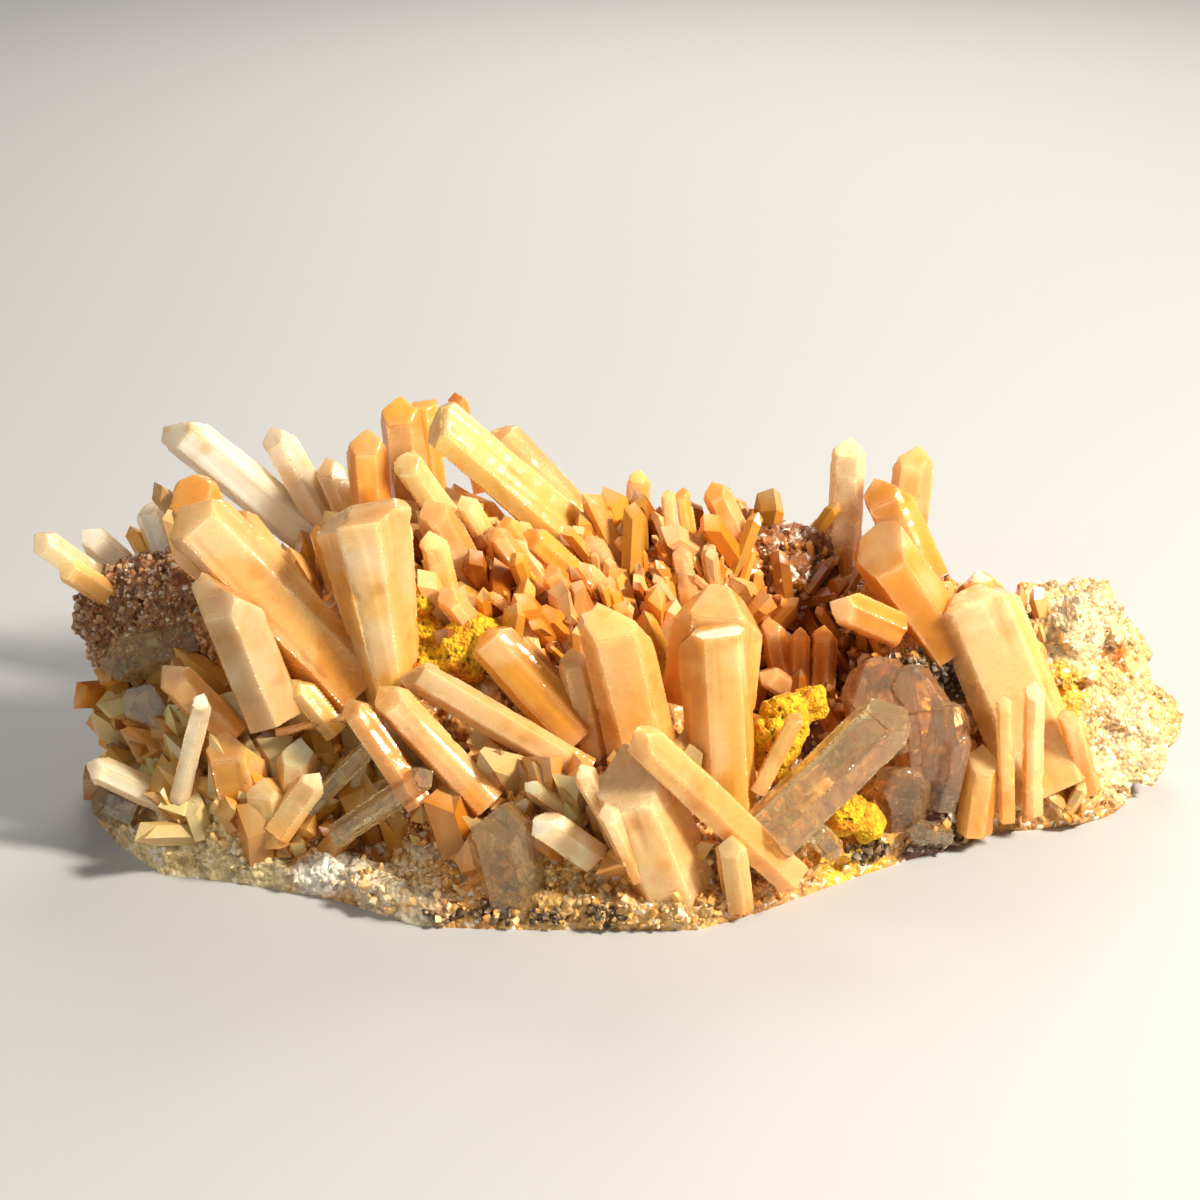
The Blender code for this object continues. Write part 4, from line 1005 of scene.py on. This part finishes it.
# The rock as triangles, without the one large face of its sawn underside.
triangles = np.array([(f[0], f[i], f[i + 1]) for f in rock_faces if len(f) < 8
                      for i in range(1, len(f) - 1)])
rock_corner = rock_points[triangles]
rock_across = np.cross(rock_corner[:, 1] - rock_corner[:, 0], rock_corner[:, 2] - rock_corner[:, 0])
rock_area = np.linalg.norm(rock_across, axis=1) / 2
rock_facing = rock_across / np.maximum(2 * rock_area, 1e-9)[:, None]
rock_middle = rock_corner.mean(1)


def scatter(count, patches, chance):
    """Random spots on the rock, as likely as each triangle's area and its nearness to the patches,
    with the normal and the rock's colour there."""
    weight = np.zeros(len(rock_middle))
    for centre, reach, share in patches:
        far = np.linalg.norm((rock_middle - centre) / reach, axis=1)
        weight += share * smooth_share(1.2 - far, 0, 0.5)
    weight *= rock_area * (rock_middle[:, 2] > 1.2)
    pick = chance.choice(len(weight), count, p=weight / weight.sum())
    blend = chance.dirichlet((1, 1, 1), count)
    spots = (rock_corner[pick] * blend[:, :, None]).sum(1)
    colour = rock_tint[triangles[pick, 0]]
    return spots, rock_facing[pick], colour


DRUSE_FINISH = {
    "druse": quartz_finish("druse_quartz", 0.0, (0.1, 0.35), 0.2, CREAM, 0.0, relief=0),
    "points": quartz_finish("point_quartz", 0.1, (0.1, 0.3), 0.2, HONEY, 0.0, relief=0),
    "chunks": quartz_finish("chunk_quartz", 0.32, (0.03, 0.18), 0.3, LEMON, 0.0, relief=0),
    "flakes": quartz_finish("manganese", 0.0, (0.25, 0.6), 0.0, RUST_AND_SHADE, 0.0, relief=0),
}


def fan_way(spots):
    """The way the large crystals round each spot point: their axes, weighted by nearness."""
    feet = np.array([(foot * 2 + tip) / 3 for _, _, _, foot, tip in grown])
    axes = np.array([axis for _, _, axis, _, _ in grown])
    near = 1 / (((spots[:, None] - feet[None]) ** 2).sum(2) + 25) ** 1.5
    ways = near @ axes
    return ways / np.linalg.norm(ways, axis=1)[:, None]


def swallowed(spots):
    """Whether each spot lies inside one of the large crystals."""
    inside = np.zeros(len(spots), bool)
    for places, normals, _, _, _ in grown:
        inside |= (((places * normals).sum(1) - spots @ normals.T) > 0.3).all(1)
    return inside


def druse(piece, finish, count, patches, size, slim, follow, palette, blend, seed,
          broken=0.14, loose=0.28):
    """Small crystals on the listed patches, settled as one piece: size is their length, slim their
    width over length, follow how closely they point with the large ones, and blend how much of
    the palette lies over the rock's own colour. None of them leaves the solid model's box."""
    chance = np.random.default_rng(seed)
    spots, facing, colour = scatter(count, patches, chance)
    lengths = size[0] + (size[1] - size[0]) * chance.random(count) ** 1.8
    widths = lengths * chance.uniform(*slim, count)
    ways = facing * (1 - follow) + fan_way(spots) * follow * 1.3 + chance.normal(
        size=(count, 3)) * loose
    ways /= np.linalg.norm(ways, axis=1)[:, None]
    tips = spots + ways * lengths[:, None]
    free = ~swallowed(spots + ways * (0.7 * lengths)[:, None]) & (
        (tips > BOX_LOW + INSET) & (tips < BOX_HIGH - INSET)).all(1)
    spots, lengths, widths, ways, colour = (part[free] for part in (spots, lengths, widths, ways,
                                                                    colour))
    count = len(spots)
    points, faces = sprout(spots, ways, lengths, widths, broken, chance)
    points[:, 2] = np.maximum(points[:, 2], LOWEST)
    own = np.array(palette)[chance.integers(len(palette), size=count)]
    base = over(colour, own, blend) * chance.uniform(0.8, 1.2, (count, 1))
    tint = np.repeat(base, EACH, axis=0).reshape(count, EACH, 3)
    tint[:, :RING] = tint[:, :RING] * 0.75
    tint[:, TIP] = tint[:, TIP] * 0.6 + CREAM * 0.4
    settle(piece, points, faces, DRUSE_FINISH[finish], "matrix",
           tint=np.clip(tint.reshape(-1, 3), 0.01, 0.95),
           along=np.tile(np.arange(EACH) * 0.7, count), crease=20)


# Patches of the rock, as middle, reach and share.
TANGLE = (((-6, 0, 38), (24, 20, 16), 1.0), ((14, 8, 38), (18, 16, 14), 0.8),
          ((-30, -2, 40), (20, 20, 14), 0.6))
FRONT = (((-50, -26, 17), (32, 14, 11), 1.0), ((-8, -34, 16), (30, 12, 10), 0.8),
         ((-72, -14, 18), (16, 14, 12), 1.0))
# The rust-brown points among these are partly painted shade between the crystals.
druse("tangle_points", "points", 340, TANGLE, (2.5, 13.0), (0.22, 0.42), 0.8,
      (ORANGE, APRICOT, RUST_AND_SHADE, PEACH, HONEY, BLUSH), 0.85, 41, loose=0.42)
druse("ridge_points", "points", 150, (((-24, 16, 42), (28, 16, 14), 1.0),
                                                      ((-60, 10, 42), (14, 12, 12), 0.5)),
      (5.0, 15.0), (0.28, 0.48), 0.95, (APRICOT, HONEY, PEACH, TAN, LEMON), 0.95, 51)
druse("front_points", "chunks", 320, FRONT, (3.0, 9.0), (0.45, 0.95), 0.55,
      (HONEY, LEMON, APRICOT, AMBER, LEMON), 0.9, 42, broken=0.4)
# The hollow's rust-brown points are partly painted shade in the hollow.
druse("hollow_points", "points", 160, (((37, 4, 22), (15, 18, 16), 1.0),),
      (2.0, 8.0), (0.3, 0.5), 0.5, (RUST_AND_SHADE, ORANGE, RUST_AND_SHADE), 0.6, 43)
druse("back_points", "points", 520, (((-10, 34, 24), (84, 16, 26), 1.0),
                                                     ((-60, 26, 34), (24, 20, 20), 1.0)),
      (3.0, 11.0), (0.3, 0.55), 0.5, (ORANGE, APRICOT, PEACH, HONEY), 0.8, 44)
druse("right_points", "points", 90, (((68, 0, 26), (10, 10, 14), 0.7),
                                                     ((66, -14, 8), (20, 12, 12), 0.8)),
      (2.0, 7.0), (0.35, 0.6), 0.6, (HONEY, LEMON, PEACH), 0.7, 45)
# The rust-brown grains among these are partly painted shade between the crystals.
druse("tangle_druse", "druse", 900, TANGLE + (((36, 8, 26), (18, 18, 18), 0.7),),
      (0.8, 2.8), (0.6, 1.0), 0.3, (HONEY, RUST_AND_SHADE, APRICOT), 0.5, 46)
druse("front_druse", "druse", 1800, FRONT + (((0, -40, 6), (50, 12, 10), 1.0),),
      (0.4, 1.7), (0.6, 1.1), 0.3, (CREAM, GLASS, HONEY, HONEY), 0.5, 47)
druse("left_druse", "druse", 1300, (((-78, 2, 34), (18, 18, 16), 1.0),),
      (0.3, 1.1), (0.8, 1.4), 0.2, (TAN, SMOKE, CREAM), 0.3, 48)
druse("right_druse", "druse", 500, (((88, 6, 18), (24, 22, 24), 1.0),
                                                     ((56, -16, 6), (26, 14, 10), 0.6)),
      (0.2, 0.8), (0.9, 1.5), 0.2, (CREAM, HONEY, MILK), 0.35, 49)
druse("back_druse", "druse", 1500, (((-10, 34, 22), (90, 20, 26), 1.0),),
      (0.8, 3.0), (0.6, 1.0), 0.2, (HONEY, APRICOT, CREAM), 0.4, 50)
druse("manganese_flakes", "flakes", 420, (
    ((-17, -43, 2.5), (4, 3, 2), 1.0), ((-8, -44, 2), (3, 3, 2), 1.0),
    ((-25, -42, 2), (3, 3, 2), 0.8), ((1, -44, 3), (3, 3, 2), 0.6), ((50, -6, 29), (6, 5, 3), 0.6),
    ((60, -6, 26), (8, 4, 3), 0.6),
    ((9, 5, 42), (5, 5, 5), 0.9), ((46, -28, 4), (5, 4, 3), 1.0), ((64, -19, 3), (12, 5, 2.5), 1.0),
    ((9, -26, 28), (4, 4, 8), 0.8)), (0.4, 1.5), (0.7, 1.5), 0.2,
    (seen(46, 32, 26), seen(30, 22, 20), seen(84, 54, 34)), 0.95, 52, broken=0.5)


# Ochre
# Crusts of bright yellow iron ochre, soft and porous, that filled the gaps between the crystals
# after they had grown.
# The nodules of each crust, as middle and reach, and the two colours of fresh and of old ochre.
FRESH_OCHRE, OLD_OCHRE = seen(248, 196, 34), seen(236, 148, 24)
OCHRE_NODULES = {
    "ochre_left": (((-28, -16, 33), 4.5), ((-23, -16, 35), 5), ((-20, -15, 38), 4.2),
                   ((-29.5, -13, 38), 3.2), ((-30, -12, 43), 2.6)),
    "ochre_right": (((28.5, -23, 23), 4.2), ((31, -20, 26), 4.2), ((28, -25, 18), 3),
                    ((35, -18, 27), 3)),
    "ochre_low": (((40.5, -27, 12), 3.4), ((44, -26, 9.5), 3)),
}


def ochre_finish():
    """Dry powdery ochre: matt, with crumbs that stand up and patches of dust."""
    material, tree, shader = new_material("yellow_ochre")
    spot = wire(tree, "ShaderNodeTexCoord").outputs["Object"]
    tint = wire(tree, "ShaderNodeAttribute", attribute_name="tint")
    crumbs = wire(tree, "ShaderNodeTexVoronoi", {"Vector": spot, "Scale": 1900.0})
    dust = wire(tree, "ShaderNodeTexNoise", {"Vector": spot, "Scale": 1300.0, "Detail": 4.0})
    dusty = remap(tree, dust.outputs["Fac"], 0.3, 0.7, 0.6, 1.25)
    tree.links.new(lit_by(tree, tint.outputs["Color"], dusty), shader.inputs["Base Color"])
    raise_relief(tree, shader, crumbs.outputs["Distance"], 0.9, 0.0004, invert=True)
    shader.inputs["Roughness"].default_value = 0.92
    return material


yellow_ochre = ochre_finish()
for ochre_seed, (ochre_name, nodules) in enumerate(OCHRE_NODULES.items()):
    crust = melt([ball(c, np.full(3, r * 1.02), 12, 20) for c, r in nodules], 0.4)
    points, faces, normals = mesh_arrays(crust)
    lump = 0.9 * layered_noise(points / 3, 60 + ochre_seed, 4)
    drawn, away = cell_grain(points, 1.3, 70)
    pore = smooth_share(0.55 - np.linalg.norm(away, axis=1), 0, 0.35) * (drawn[:, 0] > 0.45)
    points = points + normals * (lump - 0.8 * pore)[:, None]
    deep = smooth_share(layered_noise(points / 2.2, 80, 3), -0.2, 0.7)[:, None]
    tint = over(FRESH_OCHRE, OLD_OCHRE, deep)
    # The pores are painted darker as well as sunk in: painted shade in the pits.
    tint = tint * (1 - 0.55 * pore[:, None])
    settle(ochre_name + "_crust", points, faces, yellow_ochre, ochre_name, tint=tint)
